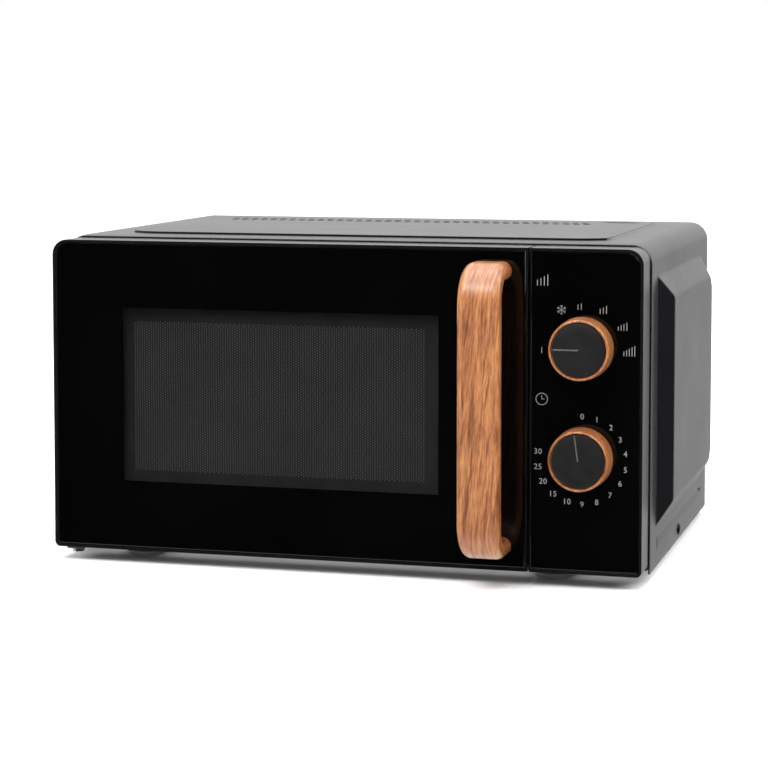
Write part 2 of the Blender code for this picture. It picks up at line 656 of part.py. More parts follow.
def make_handle():
    handle = prism("door_handle", "X", *HANDLE_X, handle_side(), (), "wood_effect")
    edge = handle.modifiers.new("rounded_edges", "BEVEL")
    edge.width = 4.0 * MM
    edge.segments = 3
    edge.limit_method = "ANGLE"
    edge.angle_limit = math.radians(50)
    for i, z in enumerate(handle_screw_z()):
        cut(handle, screw_hole(f"handle_screw_hole_{i}", z))
    place_origin(handle, (HINGE_X, HINGE_Y, 0))
    x = (HANDLE_X[0] + HANDLE_X[1]) / 2
    names = ("lower_handle_screw", "upper_handle_screw")
    for name, z in zip(names, handle_screw_z()):
        shank = [(0, -153), (2.0, -153), (2.0, -135.4), (0, -135.4)]
        screw = turned(name, (x, 0, z), "Y", shank, 12, "screw_steel")
        place_origin(screw, (HINGE_X, HINGE_Y, 0))


def make_latch():
    """Plate with two hooks that slides up in the door, and the spring that returns it."""
    back = FACE_BACK + 21.0
    outline = [(FACE_Y + 9.0, 56), (FACE_Y + 24.0, 56)]
    for z in HOOK_Z:
        outline += [
            (FACE_Y + 24.0, z - 4), (back - 9, z - 4), (back - 8, z - 8), (back, z - 1),
            (back, z + 4), (FACE_Y + 24.0, z + 4),
        ]
    outline += [(FACE_Y + 24.0, 206), (FACE_Y + 9.0, 206)]
    hook = prism("latch_hook", "X", *LATCH_X, outline, (), "white_plastic", smooth=False)
    place_origin(hook, (128.0, FACE_Y + 16.0, 131.0))
    spring = coil("latch_spring", (128.0, FACE_Y + 16.0), 206.3, 220.5, 2.6, 0.5, 5)
    place_origin(spring, (128.0, FACE_Y + 16.0, 220.5))


def coil(name, centre, low, high, radius, wire, turns):
    """Round wire wound into a vertical compression spring."""
    steps = 12 * turns
    sides = 6
    points = []
    for i in range(steps + 1):
        a = 2 * math.pi * i / 12
        z = low + wire + (high - low - 2 * wire) * i / steps
        for k in range(sides):
            b = 2 * math.pi * k / sides
            r = radius + wire * math.cos(b)
            points.append((centre[0] + r * math.cos(a), centre[1] + r * math.sin(a), z + wire * math.sin(b)))
    faces = [
        (i * sides + k, i * sides + (k + 1) % sides, (i + 1) * sides + (k + 1) % sides, (i + 1) * sides + k)
        for i in range(steps)
        for k in range(sides)
    ]
    faces += [tuple(range(sides)), tuple(range(steps * sides, (steps + 1) * sides))]
    return link(name, mesh_of(name, points, faces), "zinc_steel")


# ---- turntable ----
def make_coupler():
    """Three-lobed drive on the motor's shaft."""
    lobes = []
    for i in range(24):
        a = 2 * math.pi * i / 24
        r = 11.0 + 3.5 * math.cos(3 * a)
        lobes.append((TURN_X + r * math.cos(a), TURN_Y + r * math.sin(a)))
    hub = prism("turntable_coupler", "Z", FLOOR_Z + GAP, TRAY_Z - GAP, lobes, (), "white_plastic")
    shaft = [(0, 17.0), (3.0, 17.0), (3.0, FLOOR_Z + 3), (0, FLOOR_Z + 3)]
    join(hub, turned("coupler_shaft", (TURN_X, TURN_Y, 0), "Z", shaft, 16))
    place_origin(hub, (TURN_X, TURN_Y, FLOOR_Z))


def make_tray():
    low = TRAY_Z
    profile = [
        (0, low), (112, low), (121, low + 5), (TRAY_R - 1.5, low + 12.5), (TRAY_R, low + 14.0),
        (TRAY_R - 3.5, low + 14.0), (117, low + 8), (110, low + 4.5), (0, low + 4.5),
    ]
    tray = turned("glass_tray", (TURN_X, TURN_Y, 0), "Z", profile, 64, "clear_glass")
    place_origin(tray, (TURN_X, TURN_Y, TRAY_Z))


def make_roller_ring():
    """Ring with three axles, and a roller on each."""
    z = AXLE_Z
    hoop = [(82, z - 2.5), (87, z - 2.5), (87, z + 2.5), (82, z + 2.5)]
    frame = turned("roller_ring", (TURN_X, TURN_Y, 0), "Z", hoop, 48, "white_plastic")
    for i in range(3):
        turn = Matrix.Translation(Vector((TURN_X, TURN_Y, z)) * MM)
        turn = turn @ Matrix.Rotation(math.radians(120 * i + 90), 4, "Z")
        axle = turned(f"axle_{i}", (0, 0, 0), "X", [(0, 85), (2.0, 85), (2.0, 99), (0, 99)], 16)
        axle.matrix_world = turn
        join(frame, axle)
        half = 2.5
        profile = [
            (2.12, ROLLER_PITCH_R - half), (ROLLER_R - 0.6, ROLLER_PITCH_R - half),
            (ROLLER_R, ROLLER_PITCH_R - half + 0.6), (ROLLER_R, ROLLER_PITCH_R + half - 0.6),
            (ROLLER_R - 0.6, ROLLER_PITCH_R + half), (2.12, ROLLER_PITCH_R + half),
        ]
        wheel = turned(f"roller_{i + 1}", (0, 0, 0), "X", profile, 24, "white_plastic")
        wheel.matrix_world = turn
    place_origin(frame, (TURN_X, TURN_Y, z))


def make_side_screws():
    """Screws that hold the foot of each cabinet side to the base plate."""
    head = [(0, 0), (3.0, 0), (4.4, 0.8), (4.4, 1.2), (3.4, 2.2), (0, 2.2)]
    for name, sign in (("right_side_screw", 1), ("left_side_screw", -1)):
        profile = [(r, sign * (HALF_W + GAP + h)) for r, h in head]
        turned(name, (0, FACE_Y + 171.0, 15.0), "X", profile, 20, "screw_steel")


def centre_depth():
    """Moves every piece so that the middle of the overall depth lies on the origin."""
    front = FACE_Y - HANDLE_REACH
    offset = -(front + CABINET_BACK) / 2
    for obj in bpy.data.objects:
        obj.location.y += offset * MM


def place_origin(obj, spot):
    """Moves the object's origin to a point without moving its mesh."""
    here = obj.matrix_world.inverted() @ (Vector(spot) * MM)
    obj.data.transform(Matrix.Translation(-here))
    obj.matrix_world = obj.matrix_world @ Matrix.Translation(here)


MATERIALS = {}


def main():
    for obj in list(bpy.data.objects):
        bpy.data.objects.remove(obj)
    MATERIALS.update(make_materials())
    make_outer_cabinet()
    make_base_plate()
    make_rear_panel()
    make_front_plate()
    make_cavity()
    for side, x in (("left", -164.0), ("right", 150.0)):
        make_foot(f"front_foot_{side}", x, FACE_Y + 45.5)
        make_foot(f"rear_foot_{side}", x, 146.0)
    make_hinge_brackets()
    make_hinge_pins()
    make_interlock()
    make_microwave_source()
    make_power_supply()
    make_controls()
    make_cooling()
    make_turntable_motor()
    make_cord_gland()
    make_control_panel()
    make_knob("timer_knob", TIMER_Z)
    make_knob("power_knob", POWER_Z)
    make_door_frame()
    make_door_glass()
    make_door_inside()
    make_handle()
    make_latch()
    make_coupler()
    make_tray()
    make_roller_ring()
    make_side_screws()
    centre_depth()


main()
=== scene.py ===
"""Looks of the countertop microwave oven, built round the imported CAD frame.

Lengths are in millimetres and turned into metres where a mesh is made. Depths are counted
from the front of the door glass, towards the back.
"""

import json
import math

import bmesh
import bpy
from mathutils import Matrix, Vector


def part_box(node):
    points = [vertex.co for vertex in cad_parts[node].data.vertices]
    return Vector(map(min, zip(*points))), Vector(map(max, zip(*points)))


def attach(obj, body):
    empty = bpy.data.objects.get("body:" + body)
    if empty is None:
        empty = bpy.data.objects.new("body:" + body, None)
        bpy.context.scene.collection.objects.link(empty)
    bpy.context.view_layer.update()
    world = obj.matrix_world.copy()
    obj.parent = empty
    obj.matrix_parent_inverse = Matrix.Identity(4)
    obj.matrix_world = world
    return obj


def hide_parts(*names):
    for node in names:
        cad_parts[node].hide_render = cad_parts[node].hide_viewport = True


MM = 0.001
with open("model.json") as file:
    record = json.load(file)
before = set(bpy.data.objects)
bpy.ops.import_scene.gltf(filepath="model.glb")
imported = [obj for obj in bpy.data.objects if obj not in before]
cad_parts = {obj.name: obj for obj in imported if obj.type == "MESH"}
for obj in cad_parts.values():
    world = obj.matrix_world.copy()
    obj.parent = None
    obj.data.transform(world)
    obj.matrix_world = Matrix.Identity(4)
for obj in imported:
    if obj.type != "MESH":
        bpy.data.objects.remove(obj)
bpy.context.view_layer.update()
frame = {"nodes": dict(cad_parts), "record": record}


def box_mm(node):
    """Lowest and highest corner of a CAD node, in millimetres."""
    low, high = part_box(node)
    return low / MM, high / MM


FACE = box_mm("door_glass")[0].y

# ---- driving dimensions, taken from the frame ----
CABINET = box_mm("outer_cabinet")
DOOR = box_mm("door_frame")
GLASS = box_mm("door_glass")
PANEL = box_mm("control_panel")
PANEL_GLASS = box_mm("panel_glass")
HANDLE = box_mm("door_handle")
SCREEN = box_mm("door_screen")
TRAY = box_mm("glass_tray")
BACK = CABINET[1].y - FACE
FRONT = CABINET[0].y - FACE
HALF_W = PANEL[1].x
FOOT_Z = CABINET[0].z
SIDE_RAISE = CABINET[1].x - HALF_W
TOP_RAISE = 2.5
TOP_Z = CABINET[1].z - TOP_RAISE

# ---- rim, window and screen, as measured in the photograph ----
RIM = 2.5
GLASS_EDGE = 0.8
WINDOW_X = (-165.3, 74.3)
WINDOW_Z = (61.5, 189.8)
MESH_X = (-159.0, 62.3)
MESH_Z = (68.4, 179.3)
HOLE_PITCH_X = 1.80
HOLE_PITCH_Z = 1.84
HOLE_R = 0.62
# The sheet behind the screen is painted light: a grey backing that stands in for the lit cavity seen
# through the holes.
BACKING_GAP = 0.35


def dial_centre(node):
    """Centre (x, z) of a knob."""
    low, high = box_mm(node)
    return (low.x + high.x) / 2, (low.z + high.z) / 2


DIAL_X, TIMER_Z = dial_centre("timer_knob")
POWER_Z = dial_centre("power_knob")[1]


# ---- material tools ----
class Shade:
    """A node material with short calls for the nodes used here."""

    def __init__(self, name, colour=(0.5, 0.5, 0.5), roughness=0.4, **sockets):
        self.material = bpy.data.materials.new(name)
        self.material.use_nodes = True
        self.tree = self.material.node_tree
        self.shader = self.tree.nodes["Principled BSDF"]
        self.set("Base Color", (*colour, 1.0))
        self.set("Roughness", roughness)
        for socket, value in sockets.items():
            self.set(socket.replace("_", " "), value)
        self.place = self.add("ShaderNodeTexCoord").outputs["Object"]

    def set(self, socket, value):
        self.shader.inputs[socket].default_value = value

    def add(self, kind, **settings):
        node = self.tree.nodes.new(kind)
        for key, value in settings.items():
            setattr(node, key, value)
        return node

    def join(self, source, target):
        self.tree.links.new(source, target)

    def feed(self, source, socket):
        self.join(source, self.shader.inputs[socket])

    def scaled(self, scale, source, turn=0.0):
        node = self.add("ShaderNodeMapping")
        node.inputs["Scale"].default_value = scale
        node.inputs["Rotation"].default_value[2] = math.radians(turn)
        self.join(source, node.inputs["Vector"])
        return node.outputs["Vector"]

    def noise(self, scale, detail=3.0, rough=0.5, source=None, warp=0.0):
        """Noise whose features are about 1/scale metres across."""
        node = self.add("ShaderNodeTexNoise")
        node.inputs["Scale"].default_value = scale
        node.inputs["Detail"].default_value = detail
        node.inputs["Roughness"].default_value = rough
        node.inputs["Distortion"].default_value = warp
        self.join(source or self.place, node.inputs["Vector"])
        return node.outputs["Fac"]

    def cells(self, scale, feature="F1"):
        node = self.add("ShaderNodeTexVoronoi", feature=feature)
        node.inputs["Scale"].default_value = scale
        self.join(self.place, node.inputs["Vector"])
        return node.outputs["Distance"]

    def wave(self, scale, direction, distortion=0.0):
        node = self.add("ShaderNodeTexWave", bands_direction=direction)
        node.inputs["Scale"].default_value = scale
        node.inputs["Distortion"].default_value = distortion
        self.join(self.place, node.inputs["Vector"])
        return node.outputs["Fac"]

    def ramp(self, factor, *stops):
        """Maps 0..1 to colours or greys; each stop is (position, value)."""
        node = self.add("ShaderNodeValToRGB")
        band = node.color_ramp
        while len(band.elements) < len(stops):
            band.elements.new(0.5)
        for element, (position, value) in zip(band.elements, stops):
            element.position = position
            grey = (value, value, value) if isinstance(value, (int, float)) else value
            element.color = (*grey, 1.0)
        self.join(factor, node.inputs["Fac"])
        return node.outputs["Color"]

    def math(self, operation, a, b):
        node = self.add("ShaderNodeMath", operation=operation)
        for socket, value in zip(node.inputs, (a, b)):
            if isinstance(value, (int, float)):
                socket.default_value = value
            else:
                self.join(value, socket)
        return node.outputs["Value"]

    def mix(self, factor, a, b, blend="MIX"):
        node = self.add("ShaderNodeMix", data_type="RGBA", blend_type=blend)
        for socket, value in ((0, factor), (6, a), (7, b)):
            target = node.inputs[socket]
            if isinstance(value, (int, float)):
                target.default_value = value
            elif isinstance(value, tuple):
                target.default_value = (*value, 1.0)
            else:
                self.join(value, target)
        return node.outputs[2]

    def bump(self, height, distance_mm, strength):
        node = self.add("ShaderNodeBump")
        node.inputs["Distance"].default_value = distance_mm * MM
        node.inputs["Strength"].default_value = strength
        self.join(height, node.inputs["Height"])
        self.feed(node.outputs["Normal"], "Normal")

    def tinted(self, scale, low, high, detail=3.0):
        """Base colour that drifts between two values over the surface."""
        self.feed(self.ramp(self.noise(scale, detail), (0.3, low), (0.7, high)), "Base Color")

    def roughened(self, scale, low, high):
        """Roughness that drifts between two values over the surface."""
        self.feed(self.ramp(self.noise(scale, 4.0), (0.3, low), (0.7, high)), "Roughness")


# ---- materials ----
GRAIN_TURN = 5.0  # degrees that the wood's fibres lean from the handle's length


def cabinet_paint():
    shade = Shade("cabinet_paint_detail", (0.012, 0.012, 0.013), 0.26)
    peel = shade.noise(420, 2.0)
    speck = shade.noise(2600, 2.0, 0.6)
    height = shade.math("ADD", shade.math("MULTIPLY", peel, 0.8), shade.math("MULTIPLY", speck, 0.2))
    shade.tinted(9, (0.005, 0.005, 0.006), (0.007, 0.007, 0.008))
    shade.roughened(12, 0.25, 0.29)
    shade.bump(height, 0.01, 0.12)
    return shade.material


def black_plastic():
    shade = Shade("black_plastic_detail", (0.005, 0.005, 0.005), 0.24)
    shade.set("Specular IOR Level", 0.75)
    shade.tinted(30, 0.004, 0.006)
    shade.roughened(25, 0.22, 0.26)
    shade.bump(shade.noise(900, 2.0), 0.01, 0.08)
    return shade.material


def black_glass():
    shade = Shade("black_glass_detail", (0.0008, 0.0008, 0.0009), 0.02, IOR=1.5)
    shade.feed(shade.ramp(shade.noise(14, 5.0, 0.6), (0.35, 0.012), (0.75, 0.035)), "Roughness")
    shade.tinted(6, 0.0006, 0.0011, 2.0)
    shade.bump(shade.noise(5, 1.0), 0.02, 0.2)
    return shade.material


def window_glass():
    shade = Shade("window_glass_detail", (0.80, 0.80, 0.81), 0.0, IOR=1.45, Transmission_Weight=1.0)
    shade.feed(shade.ramp(shade.noise(20, 4.0), (0.4, 0.0), (0.8, 0.012)), "Roughness")
    shade.tinted(8, (0.78, 0.78, 0.79), (0.81, 0.81, 0.82), 2.0)
    return shade.material


def clear_glass():
    shade = Shade("clear_glass_detail", (0.92, 0.97, 0.95), 0.01, IOR=1.5, Transmission_Weight=1.0)
    shade.feed(shade.ramp(shade.noise(40, 3.0), (0.4, 0.0), (0.8, 0.04)), "Roughness")
    shade.bump(shade.noise(60, 2.0), 0.05, 0.15)
    return shade.material


def wood_effect():
    """Printed oak foil: long fibres, darker streaks and short pores, under a satin lacquer."""
    shade = Shade("wood_effect_detail", (0.55, 0.25, 0.11), 0.36, Coat_Weight=0.35, Coat_Roughness=0.22)
    along = shade.add("ShaderNodeAttribute", attribute_name="grain").outputs["Vector"]
    along = shade.scaled((1, 1, 1), along, turn=GRAIN_TURN)
    drift = shade.noise(1.0, 2.0, source=shade.scaled((9, 9, 9), along))
    sway = shade.add("ShaderNodeCombineXYZ")
    shade.join(shade.math("MULTIPLY", drift, 0.0035), sway.inputs["X"])
    moved = shade.add("ShaderNodeVectorMath", operation="ADD")
    shade.join(along, moved.inputs[0])
    shade.join(sway.outputs["Vector"], moved.inputs[1])
    moved = moved.outputs["Vector"]
    fibre = shade.noise(1.0, 4.0, 0.65, source=shade.scaled((1250, 105, 1250), moved))
    streak = shade.noise(1.0, 3.0, 0.55, source=shade.scaled((420, 26, 420), moved), warp=0.5)
    broad = shade.noise(1.0, 2.0, 0.5, source=shade.scaled((95, 8, 95), moved), warp=0.4)
    pores = shade.noise(1.0, 2.0, 0.6, source=shade.scaled((2300, 160, 2300), moved))
    light = (0.430, 0.176, 0.060)
    middle = (0.335, 0.124, 0.040)
    dark = (0.190, 0.058, 0.018)
    base = shade.ramp(streak, (0.34, dark), (0.47, middle), (0.62, light))
    tone = shade.ramp(broad, (0.30, (0.86, 0.80, 0.78)), (0.65, (1.08, 1.10, 1.12)))
    base = shade.mix(1.0, base, tone, "MULTIPLY")
    fine = shade.ramp(fibre, (0.36, (0.50, 0.40, 0.34)), (0.60, (1.14, 1.16, 1.16)))
    base = shade.mix(0.8, base, fine, "MULTIPLY")
    pore = shade.ramp(pores, (0.27, 1.0), (0.36, 0.0))
    base = shade.mix(pore, base, (0.130, 0.045, 0.018))
    shade.feed(base, "Base Color")
    shade.feed(shade.ramp(fibre, (0.3, 0.44), (0.7, 0.33)), "Roughness")
    depth = shade.math("ADD", shade.math("MULTIPLY", fibre, 0.5), shade.math("MULTIPLY", pore, -0.5))
    shade.bump(depth, 0.03, 0.35)
    return shade.material


def knob_face():
    shade = Shade("knob_face_detail", (0.011, 0.011, 0.012), 0.44)
    shade.set("Specular IOR Level", 0.35)
    shade.tinted(90, 0.007, 0.010)
    shade.roughened(200, 0.38, 0.48)
    shade.bump(shade.noise(2600, 2.0), 0.01, 0.5)
    return shade.material


def knob_pointer():
    shade = Shade("knob_pointer_detail", (0.13, 0.13, 0.13), 0.5)
    shade.tinted(900, 0.065, 0.085, 2.0)
    shade.bump(shade.noise(3000, 2.0), 0.01, 0.4)
    return shade.material


def print_ink():
    shade = Shade("print_ink_detail", (0.60, 0.60, 0.60), 0.5)
    shade.feed(shade.ramp(shade.noise(2400, 2.0, 0.7), (0.3, 0.21), (0.7, 0.27)), "Base Color")
    shade.bump(shade.noise(4000, 2.0), 0.004, 0.5)
    return shade.material


def enamel():
    shade = Shade("enamel_detail", (0.55, 0.55, 0.54), 0.3, Coat_Weight=0.3, Coat_Roughness=0.1)
    fleck = shade.ramp(shade.cells(900), (0.10, (0.20, 0.20, 0.21)), (0.22, (0.56, 0.56, 0.55)))
    cloud = shade.ramp(shade.noise(8, 3.0), (0.3, 0.92), (0.7, 1.04))
    shade.feed(shade.mix(1.0, fleck, cloud, "MULTIPLY"), "Base Color")
    shade.roughened(30, 0.24, 0.36)
    shade.bump(shade.noise(420, 2.0), 0.03, 0.4)
    return shade.material


def zinc_steel():
    shade = Shade("zinc_steel_detail", (0.55, 0.56, 0.57), 0.36, Metallic=1.0)
    spangle = shade.ramp(shade.cells(160), (0.0, (0.50, 0.51, 0.53)), (0.7, (0.64, 0.65, 0.66)))
    shade.feed(spangle, "Base Color")
    shade.roughened(120, 0.28, 0.44)
    shade.bump(shade.noise(900, 3.0), 0.01, 0.5)
    return shade.material


def core_steel():
    shade = Shade("core_steel_detail", (0.12, 0.12, 0.13), 0.55, Metallic=0.7)
    sheets = shade.wave(330, "X")
    shade.feed(shade.ramp(sheets, (0.2, (0.06, 0.06, 0.065)), (0.6, (0.15, 0.15, 0.16))), "Base Color")
    shade.roughened(60, 0.45, 0.62)
    shade.bump(sheets, 0.05, 0.5)
    return shade.material


def copper_wire():
    shade = Shade("copper_wire_detail", (0.55, 0.22, 0.09), 0.32, Metallic=0.85)
    turns = shade.wave(260, "Z", distortion=0.6)
    shade.feed(shade.ramp(turns, (0.15, (0.16, 0.05, 0.02)), (0.6, (0.60, 0.25, 0.10))), "Base Color")
    shade.roughened(90, 0.26, 0.42)
    shade.bump(turns, 0.3, 0.7)
    return shade.material


def white_plastic():
    shade = Shade("white_plastic_detail", (0.72, 0.71, 0.68), 0.42)
    shade.set("Subsurface Weight", 0.05)
    shade.tinted(25, (0.68, 0.67, 0.63), (0.75, 0.74, 0.71))
    shade.roughened(60, 0.36, 0.48)
    shade.bump(shade.noise(1500, 3.0), 0.015, 0.4)
    return shade.material


def circuit_board():
    shade = Shade("circuit_board_detail", (0.09, 0.16, 0.06), 0.45)
    tracks = shade.ramp(shade.cells(240, feature="DISTANCE_TO_EDGE"), (0.04, 1.0), (0.07, 0.0))
    shade.feed(shade.mix(tracks, (0.05, 0.13, 0.05), (0.16, 0.30, 0.10)), "Base Color")
    shade.roughened(70, 0.35, 0.55)
    shade.bump(tracks, 0.05, 0.6)
    return shade.material


def mica():
    shade = Shade("mica_detail", (0.46, 0.40, 0.30), 0.5)
    leaf = shade.noise(60, 5.0, 0.6, warp=1.5)
    shade.feed(shade.ramp(leaf, (0.3, (0.34, 0.28, 0.20)), (0.7, (0.56, 0.50, 0.40))), "Base Color")
    shade.roughened(140, 0.35, 0.6)
    shade.bump(leaf, 0.1, 0.5)
    return shade.material


def rubber():
    shade = Shade("rubber_detail", (0.022, 0.022, 0.023), 0.7)
    shade.tinted(180, 0.018, 0.034, 4.0)
    shade.roughened(90, 0.62, 0.8)
    shade.bump(shade.noise(1200, 3.0), 0.05, 0.5)
    return shade.material


def screw_steel():
    shade = Shade("screw_steel_detail", (0.035, 0.035, 0.036), 0.36, Metallic=1.0)
    worn = shade.ramp(shade.noise(500, 4.0), (0.45, (0.03, 0.03, 0.031)), (0.75, (0.10, 0.10, 0.10)))
    shade.feed(worn, "Base Color")
    shade.roughened(300, 0.30, 0.45)
    shade.bump(shade.noise(1600, 3.0), 0.02, 0.5)
    return shade.material


def door_film():
    shade = Shade("door_film_detail", (0.80, 0.82, 0.82), 0.05, IOR=1.4, Transmission_Weight=1.0)
    shade.feed(shade.ramp(shade.noise(30, 3.0), (0.4, 0.02), (0.8, 0.08)), "Roughness")
    return shade.material


def screen_paint():
    shade = Shade("screen_paint_detail", (0.07, 0.07, 0.07), 0.5)
    shade.set("Specular IOR Level", 0.12)
    shade.tinted(60, 0.064, 0.076)
    shade.bump(shade.noise(2000, 2.0), 0.01, 0.5)
    return shade.material


# Painted light: this grey stands in for the lit cavity interior seen through the screen's holes.
def painted_cavity_backing():
    shade = Shade("screen_backing_detail", (0.27, 0.27, 0.27), 0.6)
    shade.set("Specular IOR Level", 0.12)
    shade.tinted(25, 0.25, 0.29)
    shade.bump(shade.noise(900, 2.0), 0.02, 0.4)
    return shade.material


MAKERS = (
    cabinet_paint, black_plastic, black_glass, window_glass, clear_glass, wood_effect, knob_face,
    knob_pointer, print_ink, enamel, zinc_steel, core_steel, copper_wire, white_plastic,
    circuit_board, mica, rubber, screw_steel, door_film, screen_paint, painted_cavity_backing,
)
MATERIALS = {maker.__name__: maker() for maker in MAKERS}


# ---- mesh tools ----
def piece(name, points, faces, materials, body, indices=None, smooth=35):
    """Object from points in millimetres, in the row frame, riding on a CAD body."""
    mesh = bpy.data.meshes.new(name)
    mesh.from_pydata([Vector(p) * MM for p in points], [], faces)
    return finished(name, mesh, materials, body, indices, smooth)


def finished(name, mesh, materials, body, indices=None, smooth=35):
    """Object from a mesh in the row frame, shaded smooth up to an angle; 0 leaves it flat."""
    for material in materials:
        mesh.materials.append(MATERIALS[material])
    if indices:
        mesh.polygons.foreach_set("material_index", indices)
    if smooth:
        mesh.shade_smooth()
        mesh.set_sharp_from_angle(angle=math.radians(smooth))
    obj = bpy.data.objects.new(name, mesh)
    bpy.context.scene.collection.objects.link(obj)
    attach(obj, body)
    return obj


def lathe(points_rh, centre, axis, steps=64):
    """Points and faces of a profile of (radius, height) spun round an axis."""
    points = []
    faces = []
    rings = []
    for r, h in points_rh:
        ring = []
        for i in range(steps if r > 1e-6 else 1):
            a = 2 * math.pi * i / steps
            u, v = r * math.cos(a), r * math.sin(a)
            offset = {"Z": (u, v, h), "Y": (u, h, -v), "X": (h, u, v)}[axis]
            ring.append(len(points))
            points.append(tuple(c + o for c, o in zip(centre, offset)))
        rings.append(ring)
    for low, high in zip(rings, rings[1:]):
        for i in range(steps):
            a, b = low[i % len(low)], low[(i + 1) % len(low)]
            c, d = high[(i + 1) % len(high)], high[i % len(high)]
            corners = list(dict.fromkeys((a, b, c, d)))
            if len(corners) > 2:
                faces.append(tuple(corners))
    return points, faces


def arc(cu, cv, r, start, end, steps):
    """Points on a circle between two angles in degrees."""
    turn = [math.radians(start + (end - start) * i / steps) for i in range(steps + 1)]
    return [(cu + r * math.cos(a), cv + r * math.sin(a)) for a in turn]


def rounded(u0, u1, v0, v1, bottom_left, bottom_right, top_right, top_left, steps=10):
    """Rectangle with its own radius at each corner."""
    corners = (
        (u0, v0, 1, 1, bottom_left, 180),
        (u1, v0, -1, 1, bottom_right, 270),
        (u1, v1, -1, -1, top_right, 0),
        (u0, v1, 1, -1, top_left, 90),
    )
    outline = []
    for u, v, su, sv, r, start in corners:
        outline += arc(u + su * r, v + sv * r, r, start, start + 90, steps) if r else [(u, v)]
    return outline


def plate(name, front, back, outline, holes=(), edge=0.5, steps=2, flat=False):
    """Outline in (x, z) with holes and softened edges, between two depths.

    With flat, the outline is in (x, depth) and the two values are heights.
    """
    curve = bpy.data.curves.new(name + "_outline", "CURVE")
    curve.dimensions = "2D"
    curve.fill_mode = "BOTH"
    curve.extrude = ((back - front) / 2 - edge) * MM
    curve.bevel_depth = edge * MM
    curve.bevel_resolution = steps
    curve.offset = -edge * MM
    for loop in (outline, *holes):
        spline = curve.splines.new("POLY")
        spline.points.add(len(loop) - 1)
        for point, (u, v) in zip(spline.points, loop):
            point.co = (u * MM, v * MM, 0, 1)
        spline.use_cyclic_u = True
    guide = bpy.data.objects.new(name + "_guide", curve)
    mesh = bpy.data.meshes.new_from_object(guide)
    bpy.data.objects.remove(guide)
    mesh.name = name
    middle = (front + back) / 2
    if flat:
        mesh.transform(Matrix.Translation((0, FACE * MM, middle * MM)))
    else:
        turn = Matrix(((1, 0, 0), (0, 0, 1), (0, 1, 0))).to_4x4()
        mesh.transform(Matrix.Translation((0, (FACE + middle) * MM, 0)) @ turn)
    bm = bmesh.new()
    bm.from_mesh(mesh)
    bmesh.ops.remove_doubles(bm, verts=bm.verts, dist=1e-6)
    bmesh.ops.recalc_face_normals(bm, faces=bm.faces)
    bm.to_mesh(mesh)
    bm.free()
    return mesh


def square_top(mesh, top):
    """Lets the chamfer of a pane die out towards its top, where it meets the rim."""
    front = FACE * MM
    for vertex in mesh.vertices:
        if abs(vertex.co.y - front) < 1e-5:
            share = min(max((vertex.co.z / MM - (top - 9.0)) / 8.0, 0.0), 1.0)
            vertex.co.z += GLASS_EDGE * share * MM


def smoothstep(t):
    """Eases from 0 to 1, and holds both ends."""
    t = min(max(t, 0.0), 1.0)
    return t * t * (3 - 2 * t)


def spread(stops, step):
    """The stops, with even values between them no further apart than step."""
    values = [stops[0]]
    for a, b in zip(stops, stops[1:]):
        count = max(1, math.ceil((b - a) / step - 1e-6))
        values += [a + (b - a) * i / count for i in range(1, count + 1)]
    return values


# ---- cabinet ----
SHELL_R = 13.5
SLOPES = ((57, 79), (283, 306), (36.5, 51.9), (200, 216.4))  # side pressing: front, back, low, high
BACK_CORNER = 1.65
EDGE_EASE = (1.5, 0.25)   # depth and amount of the rounding along the front edge
TOP_EASE = (14.0, 0.6)    # depth and amount of the dip towards the front of the top
HEM = 8.0
SHEET = 1.0
GROOVE_Z = 25.6
GROOVE_HALF = 2.6
GROOVE_DEPTH = 1.3
GROOVE_Y = (66, 292)
GROOVE_END = 5
SLOT_Y = (62.6, 64.4)
SLOT_Z = (19.5, 27.0)
PAD_X = 192.0
PAD_Y = (60.0, 286.0)
PAD_R = 34.0
PAD_EDGE = 0.4
PAD_SLOPE = 8.0
PAD_BLEND = 11
PAD_SINK = 0.6  # how far the raised top reaches into the sheet below it
OPENING = (174.0, 92.0, 276.0)  # half width and two depths of the hole under the raised top
VENT_PITCH = 8.2
VENT_SIZE = (5.4, 10.0)
VENT_Y = 254.0
VENT_X = (-166.0, 139.0)
VENT_GAP = 6
OVAL = (158.5, 270.0, 15.0, 5.5)  # centre and half sizes of the dimple
DIMPLE_SPREAD = (1.15, 1.3)
FLAT_GRID = 5.0
FINE_GRID = 1.4
GROOVE_GRID = 0.9
SLOPE_MARGIN = 2.5


def soft_ramp(t, ease=0.09):
    """A straight ramp from 0 to 1 whose two ends are short curves."""
    if t <= -ease:
        return 0.0
    if t < ease:
        return (t + ease) ** 2 / (4 * ease)
    if t <= 1 - ease:
        return t
    if t < 1 + ease:
        return 1 - (1 + ease - t) ** 2 / (4 * ease)
    return 1.0


def side_height(y, z):
    """How far the side pressing stands out, from 0 to SIDE_RAISE, with mitred slopes."""
    (f0, f1), (b0, b1), (l0, l1), (t0, t1) = SLOPES
    front, back = (y - f0) / (f1 - f0), (b1 - y) / (b1 - b0)
    level = min((z - l0) / (l1 - l0), (t1 - z) / (t1 - t0))
    rear = min(back, level)
    if back < BACK_CORNER and level < BACK_CORNER:
        rear = BACK_CORNER - math.hypot(BACK_CORNER - back, BACK_CORNER - level)
    return SIDE_RAISE * soft_ramp(min(front, rear))


def groove_depth(y, z):
    """How deep the pressed line along the foot of each side is."""
    ends = min((y - GROOVE_Y[0]) / GROOVE_END, (GROOVE_Y[1] - y) / GROOVE_END)
    return GROOVE_DEPTH * smoothstep(1 - abs(z - GROOVE_Z) / GROOVE_HALF) * smoothstep(ends)


